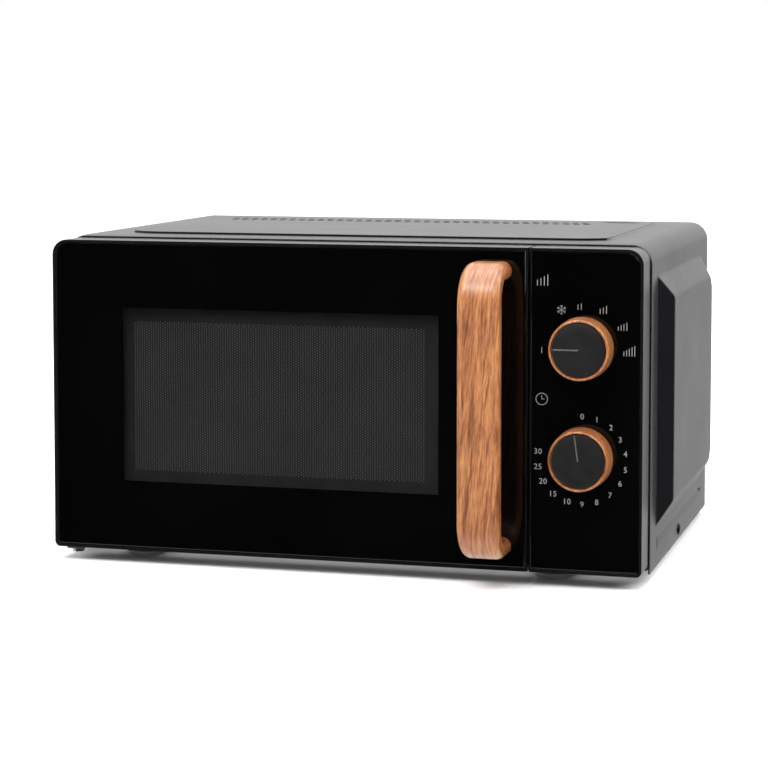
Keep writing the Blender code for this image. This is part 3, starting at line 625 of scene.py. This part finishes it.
def cabinet_section():
    """Points (x, z) with their outward normal and kind, from right foot over the top to left foot."""
    stops = [FOOT_Z, SLOT_Z[0]]
    groove = [GROOVE_Z - GROOVE_HALF, GROOVE_Z, SLOT_Z[1], GROOVE_Z + GROOVE_HALF]
    stops += spread(groove, GROOVE_GRID)
    for start, end in SLOPES[2:]:
        stops += spread([start - SLOPE_MARGIN, start, end, end + SLOPE_MARGIN], FINE_GRID)
    stops.append(TOP_Z - SHELL_R)
    right = [(HALF_W, z, 1.0, 0.0, "side") for z in spread(stops, FLAT_GRID)]
    corner = []
    steps = 14
    for i in range(1, steps):
        turn = math.radians(90 * i / steps)
        c, s = math.cos(turn), math.sin(turn)
        corner.append((HALF_W - SHELL_R + SHELL_R * c, TOP_Z - SHELL_R + SHELL_R * s, c, s, "corner"))
    edge = HALF_W - SHELL_R
    marks = spread([-edge, -OPENING[0], OPENING[0], edge], 12.0)
    top = [(x, TOP_Z, 0.0, 1.0, "top") for x in reversed(marks)]
    left = [(-x, z, -nx, nz, kind) for x, z, nx, nz, kind in reversed(right + corner)]
    return right + corner + top + left


def is_open(a, b, y):
    """Whether the sheet is cut away between two section points at this depth."""
    x, z = (a[0] + b[0]) / 2, (a[1] + b[1]) / 2
    if a[4] == b[4] == "top":
        return abs(x) < OPENING[0] and OPENING[1] < y < OPENING[2]
    return a[4] == b[4] == "side" and SLOT_Y[0] < y < SLOT_Y[1] and SLOT_Z[0] < z < SLOT_Z[1]


def make_cabinet():
    """The folded sheet: one section swept to the back, with the side pressings and a rear hem."""
    section = cabinet_section()
    (f0, f1), (b0, b1) = SLOPES[:2]
    front = spread([f0 - 3, *SLOT_Y, f1 + 3], FINE_GRID)
    back = spread([OPENING[2], b0 - 3, b1 + 3], FINE_GRID)
    edge = [FRONT + step for step in (0, 0.5, EDGE_EASE[0], 5, 9)]
    rows = spread([*edge, *front, OPENING[1], *back, BACK], FLAT_GRID)
    points = []
    for y in rows:
        near = max(0.0, 1 - (y - FRONT) / EDGE_EASE[0]) ** 2
        lip = max(0.0, 1 - (y - FRONT) / TOP_EASE[0]) ** 2
        for x, z, nx, nz, kind in section:
            ease = EDGE_EASE[1] * near + TOP_EASE[1] * lip * max(nz, 0.0)
            out = side_height(y, z) - groove_depth(y, z) if kind == "side" else 0.0
            points.append((x + nx * (out - ease), FACE + y, z + nz * (out - ease)))
    width = len(section)
    faces = []
    for r in range(len(rows) - 1):
        for i in range(width - 1):
            if not is_open(section[i], section[i + 1], (rows[r] + rows[r + 1]) / 2):
                a = r * width + i
                faces.append((a, a + 1, a + width + 1, a + width))
    last = (len(rows) - 1) * width
    for x, z, nx, nz, _ in section:
        points.append((x - nx * HEM, FACE + BACK, z - nz * HEM))
    for i in range(width - 1):
        faces.append((last + i, last + i + 1, last + width + i + 1, last + width + i))
    shell = piece("cabinet_shell", points, faces, ["cabinet_paint"], "oven", smooth=50)
    skin = shell.modifiers.new("sheet", "SOLIDIFY")
    skin.thickness = SHEET * MM
    skin.offset = -1
    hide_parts("outer_cabinet")


def make_top_pad():
    """Raised middle of the top, with two rows of air slots and the oval dimple at the rear."""
    outline = rounded(-PAD_X, PAD_X, *PAD_Y, PAD_R, PAD_R, 10, 10, 16)
    w, d = VENT_SIZE
    holes = []
    for row, start in ((0, 0.0), (1, VENT_PITCH / 2)):
        x = VENT_X[0] + start
        while x + w < VENT_X[1]:
            low = VENT_Y - d / 2 - row * (d + VENT_GAP)
            holes.append(rounded(x, x + w, low, low + d, 2, 2, 2, 2, 3))
            x += VENT_PITCH
    cx, cy, rx, ry = OVAL
    turns = [math.radians(10 * i) for i in range(36)]
    oval = [(cx + rx * math.cos(a), cy + ry * math.sin(a)) for a in turns]
    height = TOP_RAISE + PAD_SINK
    mesh = plate("cabinet_top_pad", 0, height, outline, holes + [oval], PAD_EDGE, 3, flat=True)
    middle = height / 2 * MM
    for vertex in mesh.vertices:
        x, y = vertex.co.x / MM, vertex.co.y / MM - FACE
        at_side = abs(x) > PAD_X - 1.5 or y < PAD_Y[0] + PAD_R or y > PAD_Y[1] - 9
        if vertex.co.z > middle and at_side:
            share = smoothstep((abs(x) - PAD_X + PAD_BLEND) / PAD_BLEND)
            vertex.co.x -= math.copysign(PAD_SLOPE * share * MM, x)
    sx, sy = DIMPLE_SPREAD
    floor = [(cx + sx * (x - cx), cy + sy * (y - cy)) for x, y in oval]
    dimple = plate("cabinet_dimple", 0, 0.8, floor, (), 0.2, 1, flat=True)
    for part in (mesh, dimple):
        part.transform(Matrix.Translation((0, 0, (TOP_Z - PAD_SINK) * MM)))
    finished("cabinet_top_pad", mesh, ["cabinet_paint"], "oven", smooth=8)
    finished("cabinet_dimple", dimple, ["cabinet_paint"], "oven", smooth=30)


SCREW_DROP = 1.2
SCREW_PROFILE = (
    (0, -2.0), (3.0, -2.0), (3.0, 0.0), (4.7, 0.0), (4.8, 0.5), (4.5, 1.3), (3.4, 2.0), (1.8, 2.3),
    (0, 2.35),
)


def make_side_screws():
    """Pan-head screws, one low on each side."""
    for name, out in (("right_side_screw", 1), ("left_side_screw", -1)):
        low, high = box_mm(name)
        face = out * (HALF_W + 0.05)
        centre = (face, (low.y + high.y) / 2, (low.z + high.z) / 2 - SCREW_DROP)
        points, faces = lathe([(r, out * h) for r, h in SCREW_PROFILE], centre, "X", 40)
        screw = piece(name + "_head", points, faces, ["screw_steel"], "oven", smooth=30)
        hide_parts(name)


# ---- control panel ----
def make_panel():
    """Black glass over the panel, with a hole for each knob's shaft."""
    glass = rounded(PANEL_GLASS[0].x, PANEL_GLASS[1].x, PANEL_GLASS[0].z, PANEL_GLASS[1].z, 0, 2, 9, 0)
    shafts = [arc(DIAL_X, z, 5.0, 0, 345, 23) for z in (TIMER_Z, POWER_Z)]
    mesh = plate("panel_pane", 0, 3, glass, shafts, edge=GLASS_EDGE, steps=0)
    square_top(mesh, PANEL_GLASS[1].z)
    pane = finished("panel_pane", mesh, ["black_glass"], "oven", smooth=0)
    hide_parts("panel_glass")


KNOB_R = (22.0, 21.2)     # at the panel and at the front
KNOB_POINTERS = (         # each knob, its body, and its pointer's angle from the right
    ("timer_knob", "timer_dial", TIMER_Z, 98.0),
    ("power_knob", "power_dial", POWER_Z, 180.0),
)
POINTER_REACH = 17.9
POINTER_RIDGE = ((-0.5, 0.0), (-0.28, -0.22), (0.28, -0.22), (0.5, 0.0))


def knob_profile(depth):
    """Outside of a wood-effect knob from the panel to the bore that takes the cap."""
    r0, r1 = KNOB_R
    sides = [(r0 - 0.8, -1.0), (r0, -1.8)]
    for t in (0.25, 0.5, 0.75, 1):
        bulge = 0.15 * math.sin(math.pi * t)
        sides.append((r0 + (r1 - r0) * t + bulge, -1.8 - (depth - 3.2) * t))
    rim = arc(0, 0, 1.0, 0, 90, 4)
    front = [(r1 - 1.0 + u, -depth + 1.4 - 1.4 * v) for u, v in rim]
    inner = [(19.8, -depth), (19.5, -depth + 0.4), (19.45, -depth + 3.0), (0, -depth + 3.0)]
    shaft = [(0, 40.0), (3.0, 40.0), (3.0, -1.0)]
    return shaft + sides + front + inner


def grain_layer(mesh, values):
    """Stores the place of each point along and across the wood's fibres."""
    layer = mesh.attributes.new("grain", "FLOAT_VECTOR", "POINT")
    layer.data.foreach_set("vector", [c for v in values for c in v])


def make_knobs():
    """Each knob's wood-effect body, and its dark face with a raised pointer."""
    depth = FACE - box_mm("timer_knob")[0].y
    for name, body, z, angle in KNOB_POINTERS:
        points, faces = lathe(knob_profile(depth), (DIAL_X, FACE, z), "Y", 96)
        knob = piece(name + "_body", points, faces, ["wood_effect"], body, smooth=40)
        grain_layer(knob.data, [Vector((p[0], p[2], p[1])) * MM for p in points])
        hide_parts(name)
        front = -depth + 0.5
        cap = [(0, front + 2.3), (18.65, front + 2.3), (18.65, front + 0.5)]
        cap += [(18.5, front + 0.15), (18.1, front), (12.0, front), (6.0, front), (0, front)]
        points, faces = lathe(cap, (DIAL_X, FACE, z), "Y", 96)
        indices = [0] * len(faces)
        a = math.radians(angle)
        along, across = Vector((math.cos(a), 0, math.sin(a))), Vector((-math.sin(a), 0, math.cos(a)))
        centre = Vector((DIAL_X, FACE + front, z))
        start = len(points)
        for reach in (0.0, POINTER_REACH):
            for side, rise in POINTER_RIDGE:
                points.append(tuple(centre + along * reach + across * side + Vector((0, rise, 0))))
        for i in range(3):
            faces.append((start + i, start + i + 1, start + 5 + i, start + 4 + i))
        faces += [(start, start + 3, start + 2, start + 1), (start + 4, start + 5, start + 6, start + 7)]
        indices += [1] * 5
        paints = ["knob_face", "knob_pointer"]
        face = piece(name + "_face", points, faces, paints, body, indices)
        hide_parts(name + "_cap")


# ---- printed marks ----
# Each number with its distance from the timer's centre and its clockwise angle from the top,
# both read from the photograph through the fitted camera by a separate script (see report.md).
TIMER_MARKS = (
    ("0", 28.9, -0.7), ("1", 28.9, 20.4), ("2", 29.7, 42.5), ("3", 29.8, 63.0), ("4", 30.5, 83.0),
    ("5", 31.2, 103.8), ("6", 31.7, 122.9), ("7", 32.3, 142.6), ("8", 32.7, 161.7), ("9", 32.9, -179.7),
    ("10", 33.2, -160.8), ("15", 33.6, -141.5), ("20", 33.1, -122.3), ("25", 32.5, -103.3),
    ("30", 31.8, -84.0),
)
# Bar heights of each power level, with the same distance and angle round the power knob.
POWER_MARKS = (
    ((4.4,), 29.4, -94.7), ((3.8, 4.5), 28.9, -5.1), ((3.6, 4.3, 5.6), 30.4, 27.6),
    ((2.8, 3.9, 4.7, 5.6), 31.7, 60.6), ((3.3, 4.1, 5.3, 6.4, 7.3), 32.5, 92.3),
)
SNOWFLAKE = (30.4, -30.4)
BAR_W = 0.48
BAR_PITCH = {1: 2.3, 2: 2.3, 3: 2.2, 4: 2.0, 5: 1.9}
LEVEL_SIGN = (145.2, 212.8)
LEVEL_SIGN_BARS = (4.0, 5.1, 6.5, 7.8)
LEVEL_SIGN_PITCH = 2.45
CLOCK = (148.9, 133.2)
CLOCK_R = 4.1
DIGIT_HEIGHT = 4.1
DIGIT_SHARE = 0.729  # height of a digit in the built-in font, as a share of its size
LINE_W = 0.42
INK_T = 0.06


def on_dial(z, radius, clockwise):
    """Place (x, z) round a knob whose centre is at height z."""
    a = math.radians(clockwise)
    return DIAL_X + radius * math.sin(a), z + radius * math.cos(a)


class Print:
    """Flat ink shapes gathered into one mesh on the front of the glass."""

    def __init__(self):
        self.points = []
        self.faces = []

    def polygon(self, outline):
        """A convex outline of (x, z), as a thin solid."""
        start = len(self.points)
        n = len(outline)
        for depth in (-INK_T, 0.01):
            self.points += [(x, FACE + depth, z) for x, z in outline]
        self.faces.append(tuple(start + i for i in range(n)))
        self.faces.append(tuple(start + n + i for i in reversed(range(n))))
        for i in range(n):
            k = (i + 1) % n
            self.faces.append((start + k, start + i, start + n + i, start + n + k))

    def bar(self, x, z, width, height):
        """Upright bar from its lower left corner."""
        self.polygon([(x, z), (x + width, z), (x + width, z + height), (x, z + height)])

    def stroke(self, a, b, width):
        """Straight line between two points (x, z)."""
        a, b = Vector(a), Vector(b)
        side = (b - a).normalized().orthogonal() * width / 2
        self.polygon([tuple(a - side), tuple(b - side), tuple(b + side), tuple(a + side)][::-1])

    def hoop(self, x, z, radius, width):
        """Circle drawn as short strokes."""
        ring = arc(x, z, radius, 0, 360, 40)
        for a, b in zip(ring, ring[1:]):
            self.stroke(a, b, width)

    def text(self, word, x, z, height):
        """Upright digits of this height, centred on (x, z)."""
        curve = bpy.data.curves.new("digits", "FONT")
        curve.body = word
        curve.size = height / DIGIT_SHARE * MM
        curve.align_x = "CENTER"
        curve.align_y = "CENTER"
        curve.extrude = INK_T / 2 * MM
        curve.resolution_u = 4
        curve.space_character = 1.08
        guide = bpy.data.objects.new("digits_guide", curve)
        mesh = bpy.data.meshes.new_from_object(guide)
        bpy.data.objects.remove(guide)
        start = len(self.points)
        for vertex in mesh.vertices:
            u, v, w = vertex.co / MM
            self.points.append((x + u, FACE - w - INK_T / 2, z + v))
        for face in mesh.polygons:
            self.faces.append(tuple(start + i for i in face.vertices))
        bpy.data.meshes.remove(mesh)


def make_marks():
    """All the print on the panel, as one piece."""
    ink = Print()
    for word, radius, angle in TIMER_MARKS:
        x, z = on_dial(TIMER_Z, radius, angle)
        ink.text(word, x, z, DIGIT_HEIGHT)
    for heights, radius, angle in POWER_MARKS:
        x, z = on_dial(POWER_Z, radius, angle)
        pitch = BAR_PITCH[len(heights)]
        low = z - max(heights) / 2
        for i, height in enumerate(heights):
            ink.bar(x + pitch * (i - (len(heights) - 1) / 2) - BAR_W / 2, low, BAR_W, height)
    x, z = LEVEL_SIGN
    for i, height in enumerate(LEVEL_SIGN_BARS):
        ink.bar(x + LEVEL_SIGN_PITCH * i, z, 0.55, height)
    draw_snowflake(ink, *on_dial(POWER_Z, *SNOWFLAKE))
    draw_clock(ink, *CLOCK)
    piece("panel_marks", ink.points, ink.faces, ["print_ink"], "oven", smooth=0)


def draw_snowflake(ink, x, z):
    """Six arms, each with two short side twigs."""
    for i in range(6):
        a = math.radians(60 * i + 30)
        tip = (x + 3.3 * math.cos(a), z + 3.3 * math.sin(a))
        ink.stroke((x + 0.3 * math.cos(a), z + 0.3 * math.sin(a)), tip, LINE_W)
        knee = (x + 2.1 * math.cos(a), z + 2.1 * math.sin(a))
        for turn in (-50, 50):
            b = a + math.radians(turn)
            ink.stroke(knee, (knee[0] + 1.2 * math.cos(b), knee[1] + 1.2 * math.sin(b)), 0.36)


def draw_clock(ink, x, z):
    """A ring with two hands at three o'clock."""
    ink.hoop(x, z, CLOCK_R, LINE_W)
    ink.stroke((x, z - 0.2), (x, z + 2.6), LINE_W)
    ink.stroke((x - 0.2, z), (x + 2.0, z), LINE_W)


# ---- door ----
HANDLE_SCREW_INSET = 7.6


def make_door_glass():
    """Black glass inside the door's rim, clear where the window is."""
    x = (HANDLE[0].x + HANDLE[1].x) / 2
    screws_z = (HANDLE[0].z + HANDLE_SCREW_INSET, HANDLE[1].z - HANDLE_SCREW_INSET)
    holes = [arc(x, z, 2.3, 0, 330, 11) for z in screws_z]
    outline = rounded(
        DOOR[0].x + RIM, GLASS[1].x, DOOR[0].z + RIM, DOOR[1].z - RIM, 4 - RIM / 2, 0, 0, 11 - RIM / 2
    )
    mesh = plate("door_pane", 0, 3, outline, holes, edge=GLASS_EDGE, steps=0)
    square_top(mesh, DOOR[1].z - RIM)
    bm = bmesh.new()
    bm.from_mesh(mesh)
    for axis, values in ((0, WINDOW_X), (2, WINDOW_Z)):
        for value in values:
            place, normal = Vector((0, 0, 0)), Vector((0, 0, 0))
            place[axis] = value * MM
            normal[axis] = 1
            geometry = bm.verts[:] + bm.edges[:] + bm.faces[:]
            bmesh.ops.bisect_plane(bm, geom=geometry, plane_co=place, plane_no=normal)
    for face in bm.faces:
        x, _, z = face.calc_center_median() / MM
        inside = WINDOW_X[0] < x < WINDOW_X[1] and WINDOW_Z[0] < z < WINDOW_Z[1]
        face.material_index = int(inside)
    bm.to_mesh(mesh)
    bm.free()
    panes = ["black_glass", "window_glass"]
    glass = finished("door_pane", mesh, panes, "door", smooth=0)
    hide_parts("door_glass")


def make_screen():
    """Steel screen with its staggered round holes, over a dull grey backing of painted light that stands
    in for the lit cavity seen through the holes.
    """
    columns = round((MESH_X[1] - MESH_X[0]) / HOLE_PITCH_X)
    count = round((MESH_Z[1] - MESH_Z[0]) / HOLE_PITCH_Z)
    y = SCREEN[0].y
    half_x, half_z = HOLE_PITCH_X / 2, HOLE_PITCH_Z / 2
    index = {}
    points = []
    faces = []

    def at(x, z):
        key = (round(x, 3), round(z, 3))
        if key not in index:
            index[key] = len(points)
            points.append((x, y, z))
        return index[key]

    for i in range(columns):
        x = MESH_X[0] + HOLE_PITCH_X * (i + 0.5)
        lift = half_z * (i % 2)
        for k in range(count):
            z = MESH_Z[0] + HOLE_PITCH_Z * (k + 0.5) + lift
            outer = [
                at(x + half_x, z), at(x + half_x, z + half_z), at(x - half_x, z + half_z),
                at(x - half_x, z), at(x - half_x, z - half_z), at(x + half_x, z - half_z),
            ]
            start = len(points)
            for side in range(6):
                a = math.radians(60 * side)
                points.append((x + HOLE_R * math.cos(a), y, z + HOLE_R * math.sin(a)))
            for side in range(6):
                k2 = (side + 1) % 6
                faces.append((outer[side], start + side, start + k2, outer[k2]))
    x1 = MESH_X[0] + HOLE_PITCH_X * columns
    z1 = MESH_Z[0] + HOLE_PITCH_Z * count
    for first, z in ((1, MESH_Z[0]), (0, z1)):
        for i in range(first, columns, 2):
            a, b = MESH_X[0] + HOLE_PITCH_X * i, MESH_X[0] + HOLE_PITCH_X * (i + 1)
            faces.append((at(a, z), at(b, z), at(b, z + half_z), at(a, z + half_z)))
    top = z1 + half_z
    frame_x = (SCREEN[0].x, MESH_X[0], x1, SCREEN[1].x)
    frame_z = (SCREEN[0].z, MESH_Z[0], top, SCREEN[1].z)
    for i in range(3):
        for k in range(3):
            if (i, k) == (1, 1):
                continue
            a, b = frame_x[i], frame_x[i + 1]
            c, d = frame_z[k], frame_z[k + 1]
            faces.append((at(a, c), at(b, c), at(b, d), at(a, d)))
    indices = [0] * len(faces)
    # The backing box: a grey sheet of painted light, standing in for the lit cavity behind the holes.
    s = len(points)
    low, high = SCREEN
    corners = ((low.x, low.z), (high.x, low.z), (high.x, high.z), (low.x, high.z))
    for depth in (y + BACKING_GAP, high.y):
        points += [(x, depth, z) for x, z in corners]
    faces += [(s, s + 1, s + 2, s + 3), (s + 7, s + 6, s + 5, s + 4)]
    faces += [(s + k, s + 4 + k, s + 4 + (k + 1) % 4, s + (k + 1) % 4) for k in range(4)]
    indices += [1] * 6
    paints = ["screen_paint", "painted_cavity_backing"]
    screen = piece("window_screen", points, faces, paints, "door", indices, smooth=0)
    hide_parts("door_screen")


# ---- handle ----
HANDLE_BEND = 28.0
GRIP_T = 13.2
GRIP_EDGE = 4.6
LEG_STEPS, BEND_STEPS, BAR_STEPS = 8, 24, 60
SECTION_STEPS = 8


def handle_path():
    """Centre line from the lower foot to the upper, as (depth, z, outward direction, share of leg)."""
    reach = FACE - HANDLE[0].y
    r = HANDLE_BEND - GRIP_T / 2
    low, high = HANDLE[0].z + GRIP_T / 2, HANDLE[1].z - GRIP_T / 2
    corner = -reach + HANDLE_BEND
    path = []
    for i in range(LEG_STEPS):
        y = -0.3 + (corner + 0.3) * i / LEG_STEPS
        path.append((y, low, (0, -1), 1.0))
    for i in range(BEND_STEPS + 1):
        a = math.radians(90 * i / BEND_STEPS)
        s, c = math.sin(a), math.cos(a)
        path.append((corner - r * s, low + r - r * c, (-s, -c), 1 - i / BEND_STEPS))
    half = list(path)
    for i in range(1, BAR_STEPS):
        z = low + r + (high - low - 2 * r) * i / BAR_STEPS
        path.append((-reach + GRIP_T / 2, z, (-1, 0), 0.0))
    path += [(y, low + high - z, (n[0], -n[1]), leg) for y, z, n, leg in reversed(half)]
    return path


def make_handle():
    """Bar handle lofted along its path, nearly round at the feet and flat-faced along the grip."""
    path = handle_path()
    middle = (HANDLE[0].x + HANDLE[1].x) / 2
    half_w = (HANDLE[1].x - HANDLE[0].x) / 2
    points = []
    grain = []
    travelled = 0.0
    before = None
    for y, z, (ny, nz), leg in path:
        if before:
            travelled += math.hypot(y - before[0], z - before[1])
        before = (y, z)
        r = GRIP_EDGE + (GRIP_T / 2 - 0.05 - GRIP_EDGE) * smoothstep(leg * 1.2)
        section = rounded(-half_w, half_w, -GRIP_T / 2, GRIP_T / 2, r, r, r, r, SECTION_STEPS)
        for across, out in section:
            points.append((middle + across, FACE + y + ny * out, z + nz * out))
            grain.append((across * MM, travelled * MM, out * MM))
    n = len(section)
    faces = []
    for i in range(len(path) - 1):
        for k in range(n):
            a, b = i * n + k, i * n + (k + 1) % n
            faces.append((a, b, b + n, a + n))
    faces.append(tuple(range(n))[::-1])
    faces.append(tuple(range((len(path) - 1) * n, len(path) * n)))
    bar = piece("handle_bar", points, faces, ["wood_effect"], "door", smooth=60)
    grain_layer(bar.data, grain)
    bm = bmesh.new()
    bm.from_mesh(bar.data)
    bmesh.ops.recalc_face_normals(bm, faces=bm.faces)
    bm.to_mesh(bar.data)
    bm.free()
    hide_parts("door_handle")


# ---- feet and tray ----
def make_feet():
    """Round rubber feet with a stepped edge."""
    sole = [(0, 0), (11.5, 0), (13.0, 0.6), (13.6, 1.6)]
    collar = [(15.6, 2.2), (16.4, 3.2), (16.5, 7.7), (0, 7.7)]
    for name in ("front_foot_left", "front_foot_right", "rear_foot_left", "rear_foot_right"):
        low, high = box_mm(name)
        centre = ((low.x + high.x) / 2, (low.y + high.y) / 2, 0)
        points, faces = lathe(sole + collar, centre, "Z", 48)
        foot = piece(name + "_pad", points, faces, ["rubber"], "oven")
        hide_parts(name)


def make_tray():
    """Glass turntable plate with a raised rim."""
    low, high = TRAY
    r = (high.x - low.x) / 2
    centre = ((low.x + high.x) / 2, (low.y + high.y) / 2, low.z)
    under = [(0, 0), (20, 0), (21, 0.5), (108, 0.5), (110, 0), (113, 0), (121, 4.6), (r - 1.6, 12.4)]
    rim = [(r - 0.4, 13.2), (r, 13.9), (r - 0.6, 14.3), (r - 2.6, 14.3), (r - 4.0, 13.6)]
    over = [(117.5, 8.2), (113.5, 5.4), (110, 4.6), (0, 4.6)]
    points, faces = lathe([(a, min(b, high.z - low.z)) for a, b in under + rim + over], centre, "Z", 128)
    tray = piece("turntable_plate", points, faces, ["clear_glass"], "tray")
    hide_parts("glass_tray")


# ---- CAD nodes that stay ----
EDGE_ROUNDING = 0.3
SOFT_EDGES = {"control_panel": 0.35, "door_frame": 0.35}


def dress_frame():
    """Gives each shown CAD node its detailed material and a small rounding on its edges."""
    slots = {part["node"]: part["material_slot"] for part in frame["record"]["subparts"]}
    for name, node in frame["nodes"].items():
        if node.hide_render:
            continue
        for held in node.material_slots:
            held.material = MATERIALS[slots[name]]
        weld = node.modifiers.new("weld", "WELD")
        weld.merge_threshold = 1e-6
        edge = node.modifiers.new("edges", "BEVEL")
        edge.width = SOFT_EDGES.get(name, EDGE_ROUNDING) * MM
        edge.segments = 2
        edge.limit_method = "ANGLE"
        edge.angle_limit = math.radians(35)
        node.data.shade_smooth()
        normals = node.modifiers.new("flat_faces", "WEIGHTED_NORMAL")
        normals.weight = 95


# ---- studio ----
FLOOR_HALF = 6.0
LENS_MM = 109.688
LENS_SHIFT = -0.16
CAMERA_AT = (475.1, -1597.4, 346.4)  # x, distance before the glass, z
CAMERA_TILT = 4.0973                 # degrees below level
CAMERA_TURN = 15.4239                # degrees to the left of straight ahead
LIGHTS = (                           # name, place, target, size, watts
    ("overhead", (0.0, -0.2, 2.4), (0.0, 0.0, 0.0), (2.4, 2.4), 44),
    ("right_fill", (2.2, 0.4, 1.7), (0.4, 0.0, 0.0), (1.5, 1.5), 26),
    ("front_top", (-0.5, -1.6, 1.9), (0.0, -0.1, 0.12), (1.6, 0.6), 26),
)
BASE_LEVEL = 0.66
HEIGHT_LEVELS = (                    # rise of the studio's level between two heights of view
    (-0.06, 0.08, 0.0, 0.20),
    (0.15, 0.7, 0.0, 0.90),
    (-0.80, -0.30, 0.70, 0.0),
)


def make_floor():
    size = FLOOR_HALF
    mesh = bpy.data.meshes.new("floor")
    corners = ((-size, -size), (size, -size), (size, size), (-size, size))
    mesh.from_pydata([(x, y, 0) for x, y in corners], [], [(0, 1, 2, 3)])
    shade = Shade("floor_detail", (0.90, 0.90, 0.90), 0.6)
    shade.set("Specular IOR Level", 0.0)
    shade.tinted(3, 0.90, 0.92)
    mesh.materials.append(shade.material)
    floor = bpy.data.objects.new("floor", mesh)
    bpy.context.scene.collection.objects.link(floor)
    floor.visible_glossy = False
    floor.visible_transmission = False


def make_world():
    """White studio: pale behind, bright above, dark where the glass looks."""
    world = bpy.data.worlds.new("studio")
    world.use_nodes = True
    tree = world.node_tree
    tree.nodes.clear()

    def add(kind, **settings):
        node = tree.nodes.new(kind)
        for key, value in settings.items():
            setattr(node, key, value)
        return node

    def step(source, low, high, a, b):
        node = add("ShaderNodeMapRange", interpolation_type="SMOOTHSTEP")
        for socket, value in zip(("From Min", "From Max", "To Min", "To Max"), (low, high, a, b)):
            node.inputs[socket].default_value = value
        tree.links.new(source, node.inputs["Value"])
        return node.outputs["Result"]

    def calc(operation, a, b):
        node = add("ShaderNodeMath", operation=operation)
        for socket, value in zip(node.inputs, (a, b)):
            if isinstance(value, (int, float)):
                socket.default_value = value
            else:
                tree.links.new(value, socket)
        return node.outputs["Value"]

    way = add("ShaderNodeSeparateXYZ")
    tree.links.new(add("ShaderNodeTexCoord").outputs["Generated"], way.inputs["Vector"])
    x, y, z = way.outputs
    level = BASE_LEVEL
    for rise in HEIGHT_LEVELS:
        level = calc("ADD", level, step(z, *rise))
    beside = step(x, 0.32, 0.62, 1.0, 0.02)
    ahead = step(y, -0.86, -0.55, 0.012, 1.0)
    above = step(z, 0.30, 0.50, 0.0, 1.0)
    level = calc("MULTIPLY", level, calc("MAXIMUM", beside, above))
    level = calc("MULTIPLY", level, calc("MAXIMUM", ahead, above))
    studio = add("ShaderNodeBackground")
    tree.links.new(level, studio.inputs["Strength"])
    plain = add("ShaderNodeBackground")
    plain.inputs["Color"].default_value = (1, 1, 1, 1)
    choice = add("ShaderNodeMixShader")
    seen = add("ShaderNodeLightPath").outputs["Is Camera Ray"]
    tree.links.new(seen, choice.inputs["Fac"])
    tree.links.new(studio.outputs["Background"], choice.inputs[1])
    tree.links.new(plain.outputs["Background"], choice.inputs[2])
    studio.inputs["Color"].default_value = (1, 1, 1, 1)
    out = add("ShaderNodeOutputWorld")
    tree.links.new(choice.outputs["Shader"], out.inputs["Surface"])
    bpy.context.scene.world = world


def make_light(name, place, target, size, watts):
    lamp = bpy.data.lights.new(name, "AREA")
    lamp.shape = "RECTANGLE"
    lamp.size, lamp.size_y = size
    lamp.energy = watts
    obj = bpy.data.objects.new(name, lamp)
    bpy.context.scene.collection.objects.link(obj)
    obj.location = place
    obj.rotation_euler = (Vector(target) - Vector(place)).to_track_quat("-Z", "Y").to_euler()


def make_camera():
    lens = bpy.data.cameras.new("camera")
    lens.sensor_width = 36.0
    lens.lens = LENS_MM
    lens.shift_y = LENS_SHIFT
    camera = bpy.data.objects.new("camera", lens)
    bpy.context.scene.collection.objects.link(camera)
    x, y, z = CAMERA_AT
    camera.location = Vector((x, FACE + y, z)) * MM
    camera.rotation_euler = (math.radians(90 - CAMERA_TILT), 0, math.radians(CAMERA_TURN))
    bpy.context.scene.camera = camera


def main():
    make_cabinet()
    make_top_pad()
    make_side_screws()
    make_panel()
    make_knobs()
    make_marks()
    make_door_glass()
    make_screen()
    make_handle()
    make_feet()
    make_tray()
    dress_frame()
    make_floor()
    make_world()
    for light in LIGHTS:
        make_light(*light)
    make_camera()
    bpy.context.scene.view_settings.view_transform = "Standard"


main()
